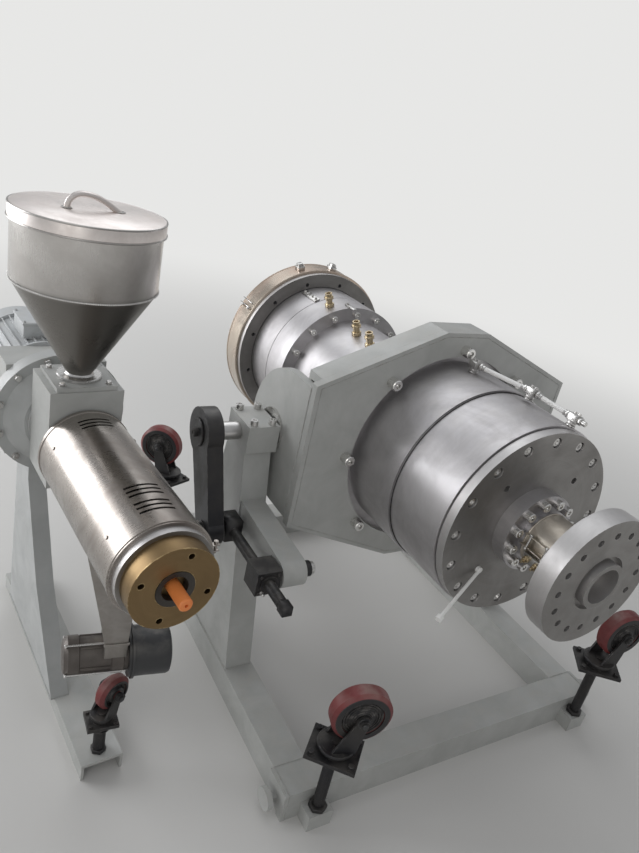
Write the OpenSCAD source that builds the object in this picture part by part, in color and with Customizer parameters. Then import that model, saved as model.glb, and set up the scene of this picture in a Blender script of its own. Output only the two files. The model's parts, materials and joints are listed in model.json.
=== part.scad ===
// Plastic extruder set: a hopper-fed screw unit beside its pipe die head,
// which hangs in a tilting yoke on a four-jack trolley.
// X runs across the trolley, Y along the die axis with the inlet in front (-Y), Z is up.

/* [Die head] */
// Height of the die axis above the floor
axis_h = 790; // [700:5:900]
// Radius of the front flange
flange_r = 260; // [240:1:275]
// Thickness of the front flange
flange_t = 25; // [15:1:40]
// Radius of the front body
front_body_r = 265; // [245:1:280]
// Radius of the rear body, inside the yoke
rear_body_r = 271; // [250:1:280]
// Distance from the inlet side of the front flange to the seam of the two bodies
seam_y = 216; // [150:1:280]
// Distance from the front flange to the yoke's front plate
yoke_y = 389; // [340:1:440]
// Radius of the waist behind the yoke
waist_r = 200; // [160:1:225]
// Distance from the front flange to the front of the rear rings
rear_rings_y = 936; // [860:1:980]
// Radius of the rear rings
rear_rings_r = 245; // [230:1:260]
// Distance from the front flange to the rear flange
rear_flange_y = 1160; // [1100:1:1200]
// Radius of the rear flange
rear_flange_r = 293; // [280:1:310]
// Thickness of the rear flange
rear_flange_t = 34; // [20:1:50]
// Width of the heater band around the die bushing
band_w = 84; // [50:1:110]
// Thickness of the heater band
band_t = 7; // [4:1:12]
// Radius of the die bushing's bore
bushing_r = 190; // [183:1:200]
// Radius of the mandrel
mandrel_r = 175; // [160:1:178]

/* [Inlet adaptor] */
// Radius of the adaptor's flange
adaptor_r = 108; // [95:1:120]
// Thickness of the adaptor's flange
adaptor_t = 40; // [25:1:60]
// Radius of the adaptor's neck
neck_r = 62; // [50:1:75]
// Distance from the front flange to the back of the inlet flange
inlet_back = 185; // [150:1:220]
// Radius of the inlet flange
inlet_r = 168; // [150:1:190]
// Thickness of the inlet flange
inlet_t = 52; // [30:1:60]
// Radius of the melt bore
melt_r = 47; // [25:1:52]
// Radius of the inlet flange's bolt circle
inlet_pcr = 130; // [115:1:140]

/* [Yoke] */
// Half width of the yoke's plate
yoke_hw = 448; // [430:1:455]
// Half height of the yoke's plate
yoke_hh = 362; // [345:1:380]
// Half height of the yoke's upright sides
yoke_side = 210; // [190:1:230]
// Half width of the yoke's flat top
yoke_top = 75; // [50:1:110]
// Thickness of the front plate
plate_t = 25; // [15:1:35]
// Depth of the yoke's box behind the front plate
box_d = 62; // [40:1:80]
// Radius of the yoke's bore
yoke_bore_r = 294; // [290:1:305]
// Thickness of the cheek plates
cheek_t = 25; // [15:1:30]
// Radius of the cheeks' round ends
cheek_r = 195; // [170:1:205]

/* [Trunnion and posts] */
// Distance from the front flange to the trunnion axis
trunnion_y = 570; // [540:1:600]
// Radius of the trunnion shafts
trunnion_r = 25; // [20:0.5:30]
// Length of a pillow block along the die axis
pillow_l = 130; // [110:1:160]
// Half height of a pillow block
pillow_h = 39; // [35:1:50]
// Width of a post across the trolley
post_w = 80; // [60:1:88]
// Length of a post at its top
post_top = 110; // [90:1:120]
// Length of a post at its foot
post_foot = 360; // [250:5:420]

/* [Trolley] */
// Side of the square beams
beam = 90; // [70:1:100]
// Wall of the square beams
beam_wall = 5; // [3:0.5:8]
// Half width of the trolley over its beams
trolley_hw = 555; // [540:1:570]
// Distance from the trunnion axis to the outer face of an end beam
trolley_hl = 620; // [580:1:680]
// Width of a jack's nut block
block_w = 70; // [60:1:90]
// Depth of a jack's nut block
block_d = 48; // [40:1:60]
// Height of a jack's nut block
block_h = 50; // [40:1:80]

/* [Jacks and casters] */
// Radius of a jack's rod
rod_r = 14; // [10:0.5:16]
// Height of a caster's top plate, turned up on its jack
plate_z = 250; // [200:1:300]
// Radius of a caster's wheel
wheel_r = 75; // [60:1:80]
// Width of a caster's wheel
wheel_w = 46; // [38:1:50]
// Distance from a caster's swivel axis to its axle
trail = 38; // [25:1:50]
// Height of the axle above the plate
axle_up = 128; // [115:1:150]

/* [Small caster of the screw unit] */
// Radius of the small wheel
small_r = 45; // [35:1:50]
// Width of the small wheel
small_w = 32; // [28:1:36]
// Distance from the small caster's swivel axis to its axle
small_trail = 26; // [18:1:32]
// Height of the small axle above its plate
small_up = 84; // [78:1:95]
// Height of the small caster's plate
small_plate_z = 150; // [130:1:165]

/* [Screw unit] */
// Height of the screw's axis above the floor
screw_h = 777; // [700:1:860]
// Turn of the screw unit about the vertical
unit_turn = 5; // [0:0.5:10]
// Distance of the nose from the die axis, to the left
unit_x = 920; // [880:5:1000]
// Distance from the front flange to the nose, back along the die axis
unit_y = -8; // [-60:1:60]
// Radius of the nose flange
nose_r = 91; // [80:1:100]
// Thickness of the nose flange
nose_t = 42; // [30:1:60]
// Radius of the bolt circle of the nose flange
nose_pcr = 73; // [60:1:76]
// Radius of the barrel
barrel_r = 48; // [40:1:60]
// Radius of the barrel's cover
cover_r = 107; // [98:1:120]
// Length of the barrel's cover
cover_l = 470; // [430:5:500]
// Wall of the barrel's cover and of the hopper
sheet_t = 3; // [2:0.5:5]
// Distance from the nose to the hopper
hopper_y = 616; // [590:1:640]
// Radius of the hopper's bin
bin_r = 160; // [140:1:180]
// Height of the hopper's bin
bin_h = 186; // [150:1:220]
// Height of the hopper's cone
cone_h = 161; // [130:1:200]
// Radius of the hopper's neck
hopper_neck_r = 40; // [30:1:50]
// Width of the base channel
channel_w = 105; // [80:1:140]
// Height of the base channel
channel_h = 50; // [40:1:70]

/* [Hidden] */
$fn = 96;

fit = 0.3;            // gap between pieces that seat on round faces
run = 0.05;           // radial clearance of a shaft in its bearing
move = 5;             // gap beside pieces that move

// Places along the die axis, from the trunnion axis
fy = -trunnion_y;     // face of the front flange
y_seam = fy + seam_y;
y_yoke = fy + yoke_y;
y_box = y_yoke + plate_t;
y_box_end = y_box + box_d;
y_rings = fy + rear_rings_y;
y_rear = fy + rear_flange_y;
y_bush = y_rear + rear_flange_t;
y_end = y_rear + rear_flange_t + band_w - 14;
y_inlet_back = fy - inlet_back;
y_inlet = y_inlet_back - inlet_t;
bush_out = 14;        // how far the inlet bush stands out
bush_r = 60;
recess_r = 73;
inlet_hole_r = 9;
inlet_phase = 3;
y_front = y_inlet - bush_out;

// Yoke
box_wall = 20;
rear_plate_t = 12;
collar_r = yoke_bore_r + 36;
collar_t = 26;
cheek_end = y_box_end + 30;
boss_r = 62;
boss_t = 7;

// Posts and bearings
frame_hw = max(trolley_hw, yoke_hw + boss_t + 2 * move + beam);    // the yoke has to fit inside
post_x = frame_hw - beam / 2;
pillow_w = 92;
pillow_bottom = axis_h - pillow_h;
pillow_in = yoke_hw + boss_t + move;
lever_in = frame_hw + 65;
lever_w = 45;

// End caps and buffers of the end beams
cap_t = 6;
buffer_out = 31;
buffer_r = 30;
buffer_t = 14;

// Jacks: one at each corner, in front of the end beams
jack_x = frame_hw - 75;
jack_y = trolley_hl + block_d / 2;
jacks = [
    ["front_left", -1, -1, -17],
    ["front_right", 1, -1, -10],
    ["rear_left", -1, 1, 140],
    ["rear_right", 1, 1, 60]];
plate_l = 128;
plate_w = 106;
plate_h = 10;
race_r = 38;
race_h = 12;
crown_r = 46;
crown_h = 8;
race_gap = 0.5;
king_r = 8;
king_head = 3;
leg_t = 6;
axle_r = 8;
leg_gap = 5;
nut_h = 16;

// Tilt screw
pivot_y = -333;
pivot_z = axis_h - 233;
lever_y = -113;
screw_x = frame_hw + 30;
nut_s = 66;
bracket_w = 68;
bracket_x = -post_x - 37;                // its left face
pin_end = bracket_x + bracket_w + 24;    // the nut's pin ends in a collar behind the bracket
spindle_r = 15;
pin_r = 14;
eye_w = 48;                              // block at the lever's end of the screw
eye_l = 60;
screw_out = 110;                         // how far the screw sticks out in front of its nut
key_w = 26;                              // square end of the screw
key_l = 30;

// Screw unit
nose_bore_r = 40;
nose_bore_d = 20;
nose_phase = -19;
nose_hole_r = 6.5;
nose_hole_d = 34;
tip_out = 50;
guard_r = 100;
guard_t = 18;
neck_z = 162;
throat_l = 150;
throat_w = 170;
throat_bottom = 95;
bell_y = 735;
bell_r = 165;
bell_l = 45;
bell_neck_r = 90;
gear_l = 120;
gear_w = 250;
motor_r = 135;
motor_l = 290;
unit_jack_y = 275;
unit_jack_turn = 20;
channel_front = 240;
channel_back = 1040;
column_w = 46;
column_x = -62;                          // left face of the column
column_foot = 476;
column_knee = [660, 290];
column_back = 940;
dome_r = 140;
dome_l = 34;
fins = 40;
fin_h = 9;
fin_t = 3.4;
cowl_l = 58;
// Cooling fan: where its motor meets its drum, and its turn about the vertical
blower_x = 48;
blower_y = 280;
blower_turn = -14;
blower_r = 60;
blower_w = 100;
fan_rim = 5;
fan_drop = 417;                          // below the screw's axis, but never down on the caster
caster_top = small_plate_z + small_up + small_r;
blower_z = max(screw_h - fan_drop, caster_top + blower_r + fan_rim + 2 * move);
fan_motor_r = 48;
fan_motor_l = 148;
duct_foot = 52;
duct_l = 84;
duct_left = -118;
duct_right = 6;
duct_top = screw_h - 50 - blower_z;      // past the cover, which cuts it

// The set stands centred over its footprint
unit_back = bell_y + bell_l + gear_l + motor_l;
x_left = -unit_x - unit_back * sin(unit_turn) - motor_r * cos(unit_turn);
x_right = frame_hw + buffer_out + buffer_t;
y_back = jack_y + (trail + wheel_r) * sin(jacks[3][3]) + (wheel_w / 2 - 8) * cos(jacks[3][3]);
set_x = (x_left + x_right) / 2;
set_y = (y_front + y_back) / 2;

// A round piece along the die axis
module ring_y(r, y0, y1, hole = 0) {
    translate([0, y0, axis_h]) rotate([-90, 0, 0])
        difference() {
            cylinder(r = r, h = y1 - y0);
            if (hole > 0) translate([0, 0, -1]) cylinder(r = hole, h = y1 - y0 + 2);
        }
}

// Holes in a circle, drilled along the die axis
module holes_y(n, pcr, r, y0, y1, phase = 0) {
    for (i = [0 : n - 1])
        translate([pcr * cos(phase + 360 / n * i), y0, axis_h + pcr * sin(phase + 360 / n * i)])
            rotate([-90, 0, 0]) cylinder(r = r, h = y1 - y0, $fn = 24);
}

// A shaft across the trolley
module shaft_x(r, x0, x1, y, z) {
    translate([x0, y, z]) rotate([0, 90, 0]) cylinder(r = r, h = x1 - x0);
}

module tube_x(l, x0, y0) {
    translate([x0, y0, 0]) difference() {
        cube([l, beam, beam]);
        translate([-1, beam_wall, beam_wall]) cube([l + 2, beam - 2 * beam_wall, beam - 2 * beam_wall]);
    }
}

module tube_y(l, x0, y0) {
    translate([x0, y0, 0]) difference() {
        cube([beam, l, beam]);
        translate([beam_wall, -1, beam_wall]) cube([beam - 2 * beam_wall, l + 2, beam - 2 * beam_wall]);
    }
}

// Trolley frame
module end_beam(side) {
    color("#b9bbb4") tube_x(2 * frame_hw, -frame_hw, side < 0 ? -trolley_hl : trolley_hl - beam);
}

module side_beam(side) {
    color("#b9bbb4") tube_y(2 * (trolley_hl - beam), side < 0 ? -frame_hw : frame_hw - beam,
        -(trolley_hl - beam));
}

// The cap of an end beam, with its buffer disc
module buffer(side) {
    y = side * (trolley_hl - beam / 2);
    translate([frame_hw, y - beam / 2, 0]) cube([cap_t, beam, beam]);
    shaft_x(9, frame_hw + cap_t, frame_hw + buffer_out, y, beam / 2);
    shaft_x(buffer_r, frame_hw + buffer_out, frame_hw + buffer_out + buffer_t, y, beam / 2);
}

module jack_blocks() {
    color("#b0b2ab") for (j = jacks) {
        difference() {
            translate([j[1] * jack_x - block_w / 2, j[2] * jack_y - block_d / 2, 0])
                cube([block_w, block_d, block_h]);
            translate([j[1] * jack_x, j[2] * jack_y, -1]) cylinder(r = rod_r + fit, h = block_h + 2);
        }
        mirror([j[1] < 0 ? 1 : 0, 0, 0]) buffer(j[2]);
    }
}

// A caster's sizes: wheel radius, wheel width, trail, axle height, plate height, foot height
big = [wheel_r, wheel_w, trail, axle_up, plate_z, 0];
small = [small_r, small_w, small_trail, small_up, small_plate_z, channel_h];

// A jack rod with the caster's plate and lower race
module jack(x, y, turn, c) {
    k = c[0] / wheel_r;
    translate([x, y, 0]) {
        translate([0, 0, c[5]]) cylinder(r = rod_r, h = c[4] + plate_h / 2 - c[5]);
        translate([0, 0, c[4] - nut_h]) cylinder(r = 24, h = nut_h + plate_h / 2, $fn = 6);
        rotate([0, 0, turn - 28]) translate([-plate_l * k / 2, -plate_w * k / 2, c[4]])
            cube([plate_l * k, plate_w * k, plate_h]);
        translate([0, 0, c[4] + plate_h / 2]) cylinder(r = race_r * k, h = plate_h / 2 + race_h);
        translate([0, 0, c[4]]) cylinder(r = king_r, h = crown_top(c) + race_gap + king_head - c[4]);
        translate([0, 0, crown_top(c) + race_gap]) cylinder(r = king_r + 4, h = king_head);
    }
}

module jack_screws() {
    color("#26262a") for (j = jacks) jack(j[1] * jack_x, j[2] * jack_y, j[3], big);
}

function crown_top(c) = c[4] + plate_h + race_h + race_gap + crown_h;

// The swivelling fork of a caster, with its axle
module fork(x, y, turn, c) {
    k = c[0] / wheel_r;
    z0 = c[4] + plate_h + race_h + race_gap;
    axle_z = c[4] + c[3];
    in = c[1] / 2 + leg_gap;
    translate([x, y, 0]) rotate([0, 0, turn]) {
        translate([0, 0, z0]) difference() {
            cylinder(r = crown_r * k, h = crown_h);
            translate([0, 0, -1]) cylinder(r = king_r + run, h = crown_h + 2);
        }
        for (y1 = [in + leg_t, -in]) translate([0, y1, 0]) rotate([90, 0, 0]) linear_extrude(leg_t) {
            polygon([[-22 * k, z0 + 1], [38 * k, z0 + 1], [c[2] + 16 * k, axle_z],
                [c[2] - 16 * k, axle_z]]);
            translate([c[2], axle_z]) circle(r = 18 * k);
        }
        translate([c[2], in + leg_t + 10, axle_z]) rotate([90, 0, 0])
            cylinder(r = axle_r, h = 2 * (in + leg_t) + 20);
        for (y1 = [in + leg_t + 8, -in - leg_t]) translate([c[2], y1, axle_z]) rotate([90, 0, 0])
            cylinder(r = 13, h = 8, $fn = 6);
    }
}

module wheel(x, y, turn, c) {
    r = c[0];
    w = c[1] / 2;
    translate([x, y, 0]) rotate([0, 0, turn]) translate([c[2], 0, c[4] + c[3]]) rotate([90, 0, 0])
        rotate_extrude() polygon([
            [axle_r + run, -w - 3], [20, -w - 3], [23, -w + 6], [r * 0.68, -w + 8], [r * 0.72, -w],
            [r - 8, -w], [r, -w + 8], [r, w - 8], [r - 8, w], [r * 0.72, w], [r * 0.68, w - 8],
            [23, w - 6], [20, w + 3], [axle_r + run, w + 3]]);
}

module corner_fork(i) {
    color("#1c1c1f") fork(jacks[i][1] * jack_x, jacks[i][2] * jack_y, jacks[i][3], big);
}

module corner_wheel(i) {
    color("#8c2f2f") wheel(jacks[i][1] * jack_x, jacks[i][2] * jack_y, jacks[i][3], big);
}

// Posts that carry the bearings
module post(side) {
    color("#b4b6b0") translate([side * post_x - post_w / 2, 0, 0]) rotate([90, 0, 90]) linear_extrude(post_w)
        polygon([[-post_foot / 2, beam], [post_foot / 2, beam], [post_top / 2, pillow_bottom],
            [-post_top / 2, pillow_bottom]]);
}

module pillow_block(side) {
    x0 = side < 0 ? -pillow_in - pillow_w : pillow_in;
    color("#c4c6c2") difference() {
        union() {
            translate([x0, -pillow_l / 2, pillow_bottom]) cube([pillow_w, pillow_l, pillow_h - 0.5]);
            translate([x0, -pillow_l / 2, axis_h + 0.5]) cube([pillow_w, pillow_l, pillow_h - 0.5]);
            for (s = [-1, 1]) translate([x0, s * (pillow_l / 2 - 15) - 15, axis_h - 1])
                cube([pillow_w, 30, 2]);
        }
        shaft_x(trunnion_r + run, x0 - 1, x0 + pillow_w + 1, 0, axis_h);
    }
}

// Yoke
function slope_v() = [yoke_hh - yoke_side, yoke_hw - yoke_top];
function slope_n() = slope_v() / norm(slope_v());
function inset_side(t) = (slope_n() * [yoke_hw, yoke_side] - t - slope_n()[0] * (yoke_hw - t)) / slope_n()[1];
function inset_top(t) = (slope_n() * [yoke_hw, yoke_side] - t - slope_n()[1] * (yoke_hh - t)) / slope_n()[0];

module octagon(t) {
    w = yoke_hw - t;
    h = yoke_hh - t;
    a = inset_side(t);
    b = inset_top(t);
    polygon([[w, -a], [w, a], [b, h], [-b, h], [-w, a], [-w, -a], [-b, -h], [b, -h]]);
}

module slab_y(y0, y1) {
    translate([0, y1, axis_h]) rotate([90, 0, 0]) linear_extrude(y1 - y0) children();
}

module yoke_plate() {
    color("#aeb0aa") slab_y(y_yoke, y_box) difference() {
        octagon(0);
        circle(r = yoke_bore_r);
    }
}

module yoke_box() {
    color("#b4b6b0") difference() {
        union() {
            slab_y(y_box, y_box_end - rear_plate_t) difference() {
                octagon(0);
                octagon(box_wall);
            }
            slab_y(y_box_end - rear_plate_t, y_box_end) difference() {
                octagon(0);
                circle(r = yoke_bore_r);
            }
        }
        for (s = [-1, 1]) translate([s > 0 ? yoke_hw - cheek_t : -yoke_hw - 1, y_box - 1, axis_h - yoke_hh])
            cube([cheek_t + 1, box_d + 2, 2 * yoke_hh]);
    }
}

module cheek(side) {
    x0 = side < 0 ? -yoke_hw : yoke_hw - cheek_t;
    color("#c0c2be") translate([x0, 0, axis_h]) rotate([90, 0, 90]) linear_extrude(cheek_t) {
        translate([y_box, -cheek_r]) square([cheek_end - y_box, 2 * cheek_r]);
        difference() {
            translate([cheek_end, 0]) circle(r = cheek_r);
            translate([cheek_end - 2 * cheek_r, -cheek_r]) square([2 * cheek_r, 2 * cheek_r]);
        }
    }
}

module trunnion_shafts() {
    color("#9fa1a4") {
        shaft_x(boss_r, -yoke_hw - boss_t, -yoke_hw, 0, axis_h);
        shaft_x(trunnion_r, -lever_in, -yoke_hw - boss_t, 0, axis_h);
        shaft_x(boss_r, yoke_hw, yoke_hw + boss_t, 0, axis_h);
        shaft_x(trunnion_r, yoke_hw + boss_t, pillow_in + pillow_w + 12, 0, axis_h);
    }
}

// Die head
module front_flange() {
    color("#8d8c90") difference() {
        ring_y(flange_r, fy, fy + flange_t);
        holes_y(16, flange_r - 27, 14, fy - 1, fy + 15);
        holes_y(4, 166, 9, fy - 1, fy + 20, 45);
    }
}

module front_body() {
    color("#b7b6bd") {
        ring_y(flange_r - 4, fy + flange_t, fy + flange_t + 3);
        ring_y(front_body_r, fy + flange_t + 3, y_seam);
    }
}

module rear_body() {
    color("#adacb3") {
        ring_y(rear_body_r - 5, y_seam, y_seam + 3);
        ring_y(rear_body_r, y_seam + 3, y_box_end + 20);
        ring_y(collar_r, y_box, y_box + collar_t);
    }
}

module waist() {
    color("#c2c2c8") ring_y(waist_r, y_box_end + 20, y_rings);
}

module rear_rings() {
    color("#b5b4bb") {
        ring_y(rear_rings_r, y_rings, y_rings + 105);
        ring_y(rear_rings_r - 3, y_rings + 105, y_rings + 108);
        ring_y(rear_rings_r, y_rings + 108, y_rear);
    }
}

module rear_flange() {
    color("#a3a2a8") difference() {
        ring_y(rear_flange_r, y_rear, y_bush);
        holes_y(12, rear_flange_r - 32, 7, y_rear - 1, y_rear + 25, 17);
    }
}

module die_bushing() {
    color("#a09fa5") ring_y(rear_flange_r, y_bush, y_end, bushing_r);
}

module mandrel() {
    color("#b9b8be") ring_y(mandrel_r, y_bush, y_end);
}

module heater_band() {
    color("#b79f86") ring_y(rear_flange_r + fit + band_t, y_end - band_w, y_end, rear_flange_r + fit);
}

module adaptor() {
    color("#a9a9ae") {
        ring_y(adaptor_r, fy - adaptor_t, fy);
        ring_y(neck_r, y_inlet_back, fy - adaptor_t);
    }
}

module neck_heater() {
    color("#b08d57") ring_y(neck_r + 10, y_inlet_back + 24, fy - adaptor_t - 20, neck_r + fit);
}

module inlet_flange() {
    color("#a7a7a6") difference() {
        union() {
            difference() {
                ring_y(inlet_r, y_inlet, y_inlet_back);
                ring_y(recess_r, y_inlet - 1, y_inlet + 12);
            }
            ring_y(bush_r, y_front, y_inlet + 13);
        }
        ring_y(melt_r, y_front - 1, y_inlet + 30);
        holes_y(16, inlet_pcr, inlet_hole_r, y_inlet - 1, y_inlet_back + 1, inlet_phase);
    }
}

// Glands and tubes along the top of the bodies
fit_a = [0, fy + 335, axis_h + 271];
fit_b = [52, fy + 170, axis_h + 260];
fit_c = [76, fy + 42, axis_h + 254];
fit_w = 28;
fit_l = 40;
fit_h = 36;

module rod_between(p, q, r) {
    d = q - p;
    l = norm(d);
    translate(p) rotate([0, acos(d[2] / l), atan2(d[1], d[0])]) cylinder(r = r, h = l, $fn = 24);
}

module top_fittings() {
    color("#c9c7c0") {
        difference() {
            for (p = [fit_a, fit_b, fit_c]) translate(p - [fit_w / 2, fit_l / 2, fit_h / 3])
                cube([fit_w, fit_l, fit_h]);
            ring_y(front_body_r + fit, fy, y_seam);
            ring_y(rear_body_r + fit, y_seam, y_yoke);
        }
        rod_between(fit_a + [0, 0, 12], fit_b + [0, 0, 14], 6);
        rod_between(fit_b + [0, 0, 14], fit_c + [0, 0, 16], 6);
    }
}

rod_in = [-166 * cos(45), fy, axis_h - 166 * sin(45)];
rod_out = [-266, fy - 60, axis_h - 196];

module gauge_rod() {
    color("#dcdad4") {
        translate(rod_in + [0, -8, 0]) rotate([-90, 0, 0]) cylinder(r = 8.7, h = 26, $fn = 24);
        rod_between(rod_in + [0, -6, 0], rod_out, 4.5);
        rod_between(rod_out + (rod_in - rod_out) * 0.07, rod_out, 9);
    }
}

// Tilt screw
module tilt_lever() {
    x0 = -lever_in - lever_w;
    color("#2b2b2e") {
        translate([x0, 0, 0]) rotate([90, 0, 90]) linear_extrude(lever_w) {
            translate([0, axis_h]) circle(r = 68);
            polygon([[-62, axis_h], [50, axis_h - 10], [lever_y + 42, pivot_z - 20],
                [lever_y - 42, pivot_z + 10]]);
            translate([lever_y, pivot_z]) circle(r = 45);
        }
        shaft_x(pin_r, -lever_in, -screw_x + 30, lever_y, pivot_z);
    }
}

module tilt_spindle() {
    color("#38383c") {
        difference() {
            translate([-screw_x - eye_w / 2, lever_y - eye_l / 2, pivot_z - eye_l / 2])
                cube([eye_w, eye_l, eye_l]);
            shaft_x(pin_r + 3, -screw_x - 30, -screw_x + 30, lever_y, pivot_z);
        }
        translate([-screw_x, pivot_y - screw_out, pivot_z]) rotate([-90, 0, 0])
            cylinder(r = spindle_r, h = lever_y - eye_l / 2 - pivot_y + screw_out);
        translate([-screw_x - key_w / 2, pivot_y - screw_out - key_l, pivot_z - key_w / 2])
            cube([key_w, key_l, key_w]);
    }
}

module tilt_nut() {
    color("#202024") {
        difference() {
            translate([-screw_x - nut_s / 2, pivot_y - nut_s / 2, pivot_z - nut_s / 2]) cube(nut_s);
            translate([-screw_x, pivot_y - nut_s, pivot_z]) rotate([-90, 0, 0])
                cylinder(r = spindle_r + run, h = 2 * nut_s);
        }
        shaft_x(pin_r, -screw_x + nut_s / 2, pin_end, pivot_y, pivot_z);
        shaft_x(21, pin_end - 18, pin_end, pivot_y, pivot_z);
    }
}

module tilt_bracket() {
    z_top = 38;
    color("#b9bbb4") difference() {
        translate([bracket_x, 0, 0]) rotate([90, 0, 90]) linear_extrude(bracket_w) {
            translate([pivot_y, pivot_z]) circle(r = z_top);
            polygon([[pivot_y, pivot_z - z_top], [-86, pivot_z - 20], [-65, pivot_z + 56],
                [-80, pivot_z + 56], [pivot_y, pivot_z + z_top]]);
        }
        shaft_x(pin_r + run, bracket_x - 9, bracket_x + bracket_w + 9, pivot_y, pivot_z);
        // seat on the sloped front of the post
        translate([bracket_x - 9, 0, 0]) rotate([90, 0, 90]) linear_extrude(bracket_w + 18)
            polygon([[-post_foot / 2, beam], [0, beam], [0, pivot_z + 100],
                [post_line(pivot_z + 100), pivot_z + 100]]);
    }
}

// The front of a post at a height
function post_line(z) = -post_foot / 2 + (post_foot - post_top) / 2 * (z - beam) / (pillow_bottom - beam);

// Screw unit, drawn from its nose back along its own axis
module unit() {
    translate([-unit_x, fy + unit_y, 0]) rotate([0, 0, unit_turn]) children();
}

module ring_u(r, y0, y1, hole = 0) {
    translate([0, y0, screw_h]) rotate([-90, 0, 0]) difference() {
        cylinder(r = r, h = y1 - y0);
        if (hole > 0) translate([0, 0, -1]) cylinder(r = hole, h = y1 - y0 + 2);
    }
}

module base_channel() {
    l = channel_back - channel_front;
    color("#b9bbb4") unit() difference() {
        translate([-channel_w / 2, channel_front, 0]) cube([channel_w, l, channel_h]);
        translate([-channel_w / 2 + 7, channel_front - 1, -1]) cube([channel_w - 14, l + 2, channel_h - 7]);
    }
}

module unit_column() {
    color("#b4b6b0") unit() {
        y0 = bell_y + bell_l + 4;
        z1 = screw_h - gear_w / 2;
        translate([column_x, 0, 0]) rotate([90, 0, 90]) linear_extrude(column_w) polygon([
            [column_foot, channel_h], column_knee, [y0, z1 - 90], [y0, z1], [y0 + gear_l - 8, z1],
            [column_back, channel_h]]);
    }
}

module bell_housing() {
    color("#c9cbc8") unit() {
        ring_u(bell_r, bell_y, bell_y + bell_l);
        ring_u(bell_neck_r, hopper_y + throat_l / 2, bell_y);
        translate([0, bell_y - dome_l, screw_h]) rotate([-90, 0, 0])
            cylinder(r1 = bell_neck_r + 8, r2 = dome_r, h = dome_l);
    }
}

module gearbox() {
    color("#bfc1be") unit() translate([-gear_w / 2, bell_y + bell_l, screw_h - gear_w / 2])
        cube([gear_w, gear_l, gear_w]);
}

module motor() {
    y0 = bell_y + bell_l + gear_l;
    color("#c4c6c6") unit() {
        ring_u(motor_r - fin_h, y0, y0 + motor_l);
        ring_u(motor_r, y0, y0 + fin_h);
        ring_u(motor_r, y0 + motor_l - cowl_l, y0 + motor_l);
        translate([0, y0, screw_h]) for (i = [0 : fins - 1]) rotate([0, 360 / fins * i, 0])
            translate([-fin_t / 2, 0, motor_r - 2 * fin_h]) cube([fin_t, motor_l - 1, 2 * fin_h - 1]);
    }
}

module throat_block() {
    color("#b8bab8") unit() difference() {
        union() {
            translate([-throat_w / 2, hopper_y - throat_l / 2, screw_h - throat_bottom])
                cube([throat_w, throat_l, throat_bottom + neck_z - 10]);
            translate([-70, hopper_y - 70, screw_h + neck_z - 10]) cube([140, 140, 10]);
        }
        translate([0, hopper_y, screw_h + 50]) cylinder(r = hopper_neck_r - sheet_t, h = neck_z);
    }
}

module hopper() {
    z0 = neck_z;
    z1 = z0 + 34;
    z2 = z1 + cone_h;
    z3 = z2 + bin_h;
    color("#a9aaa8") unit() translate([0, hopper_y, screw_h]) rotate_extrude() polygon([
        [hopper_neck_r - sheet_t, z0], [hopper_neck_r, z0], [hopper_neck_r, z1], [bin_r, z2], [bin_r, z3],
        [bin_r - sheet_t, z3], [bin_r - sheet_t, z2 + 1], [hopper_neck_r - sheet_t, z1 + 1]]);
}

module hopper_lid() {
    lid_t = 6;
    lid_lip = 5;
    lid_rim = 24;
    handle_r = 6;
    handle_h = 34;
    z3 = neck_z + 34 + cone_h + bin_h;
    color("#b3b4b2") unit() translate([0, hopper_y, screw_h + z3]) {
        cylinder(r = bin_r + lid_lip, h = lid_t);
        translate([0, 0, -lid_rim]) difference() {
            cylinder(r = bin_r + lid_lip, h = lid_rim + 1);
            translate([0, 0, -1]) cylinder(r = bin_r + fit, h = lid_rim + 1);
        }
        for (x = [-1, 1]) rod_between([52 * x, 0, 0], [46 * x, 0, handle_h], handle_r);
        rod_between([-46 - handle_r, 0, handle_h], [46 + handle_r, 0, handle_h], handle_r);
    }
}

module barrel() {
    color("#8a8a8e") unit() {
        ring_u(barrel_r, nose_t, hopper_y - throat_l / 2);
        ring_u(guard_r, nose_t, nose_t + guard_t);
    }
}

module barrel_cover() {
    y0 = nose_t + guard_t;
    color("#a8a49a") unit() {
        difference() {
            ring_u(cover_r, y0, y0 + cover_l, cover_r - sheet_t);
            for (g = [50, 108, 400], i = [0 : 2])
                translate([-36, y0 + g + 15 * i, screw_h + 70]) cube([72, 6, 60]);
        }
        ring_u(cover_r - sheet_t - fit, y0, y0 + 5, barrel_r + fit);
    }
}

module nose_flange() {
    color("#b08a3c") unit() difference() {
        ring_u(nose_r, 0, nose_t);
        ring_u(nose_bore_r, -1, nose_bore_d);
        for (a = [nose_phase : 90 : nose_phase + 270])
            translate([nose_pcr * cos(a), -1, screw_h + nose_pcr * sin(a)]) rotate([-90, 0, 0])
                cylinder(r = nose_hole_r, h = nose_hole_d + 1);
    }
}

module screw_tip() {
    color("#d9722e") unit() ring_u(14, -tip_out, nose_bore_d);
}

// Cooling fan below the barrel, hung on its duct from the cover
module blower() {
    color("#2f3032") unit() difference() {
        translate([blower_x, blower_y, blower_z]) rotate([0, 0, blower_turn]) {
            rotate([0, 90, 0]) {
                translate([0, 0, -fan_motor_l]) cylinder(r = fan_motor_r, h = fan_motor_l + 1);
                cylinder(r = blower_r, h = blower_w);
                translate([0, 0, 6]) cylinder(r = blower_r + fan_rim, h = 7);
            }
            rotate([90, 0, 0]) translate([0, 0, -duct_l / 2]) linear_extrude(duct_l) polygon([
                [-duct_foot - 6, 0], [-6, 0], [-6, fan_motor_r + 14], [duct_right, duct_top],
                [duct_left, duct_top], [-duct_foot - 6, fan_motor_r + 14]]);
        }
        ring_u(cover_r + fit, 0, hopper_y);
    }
}

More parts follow.
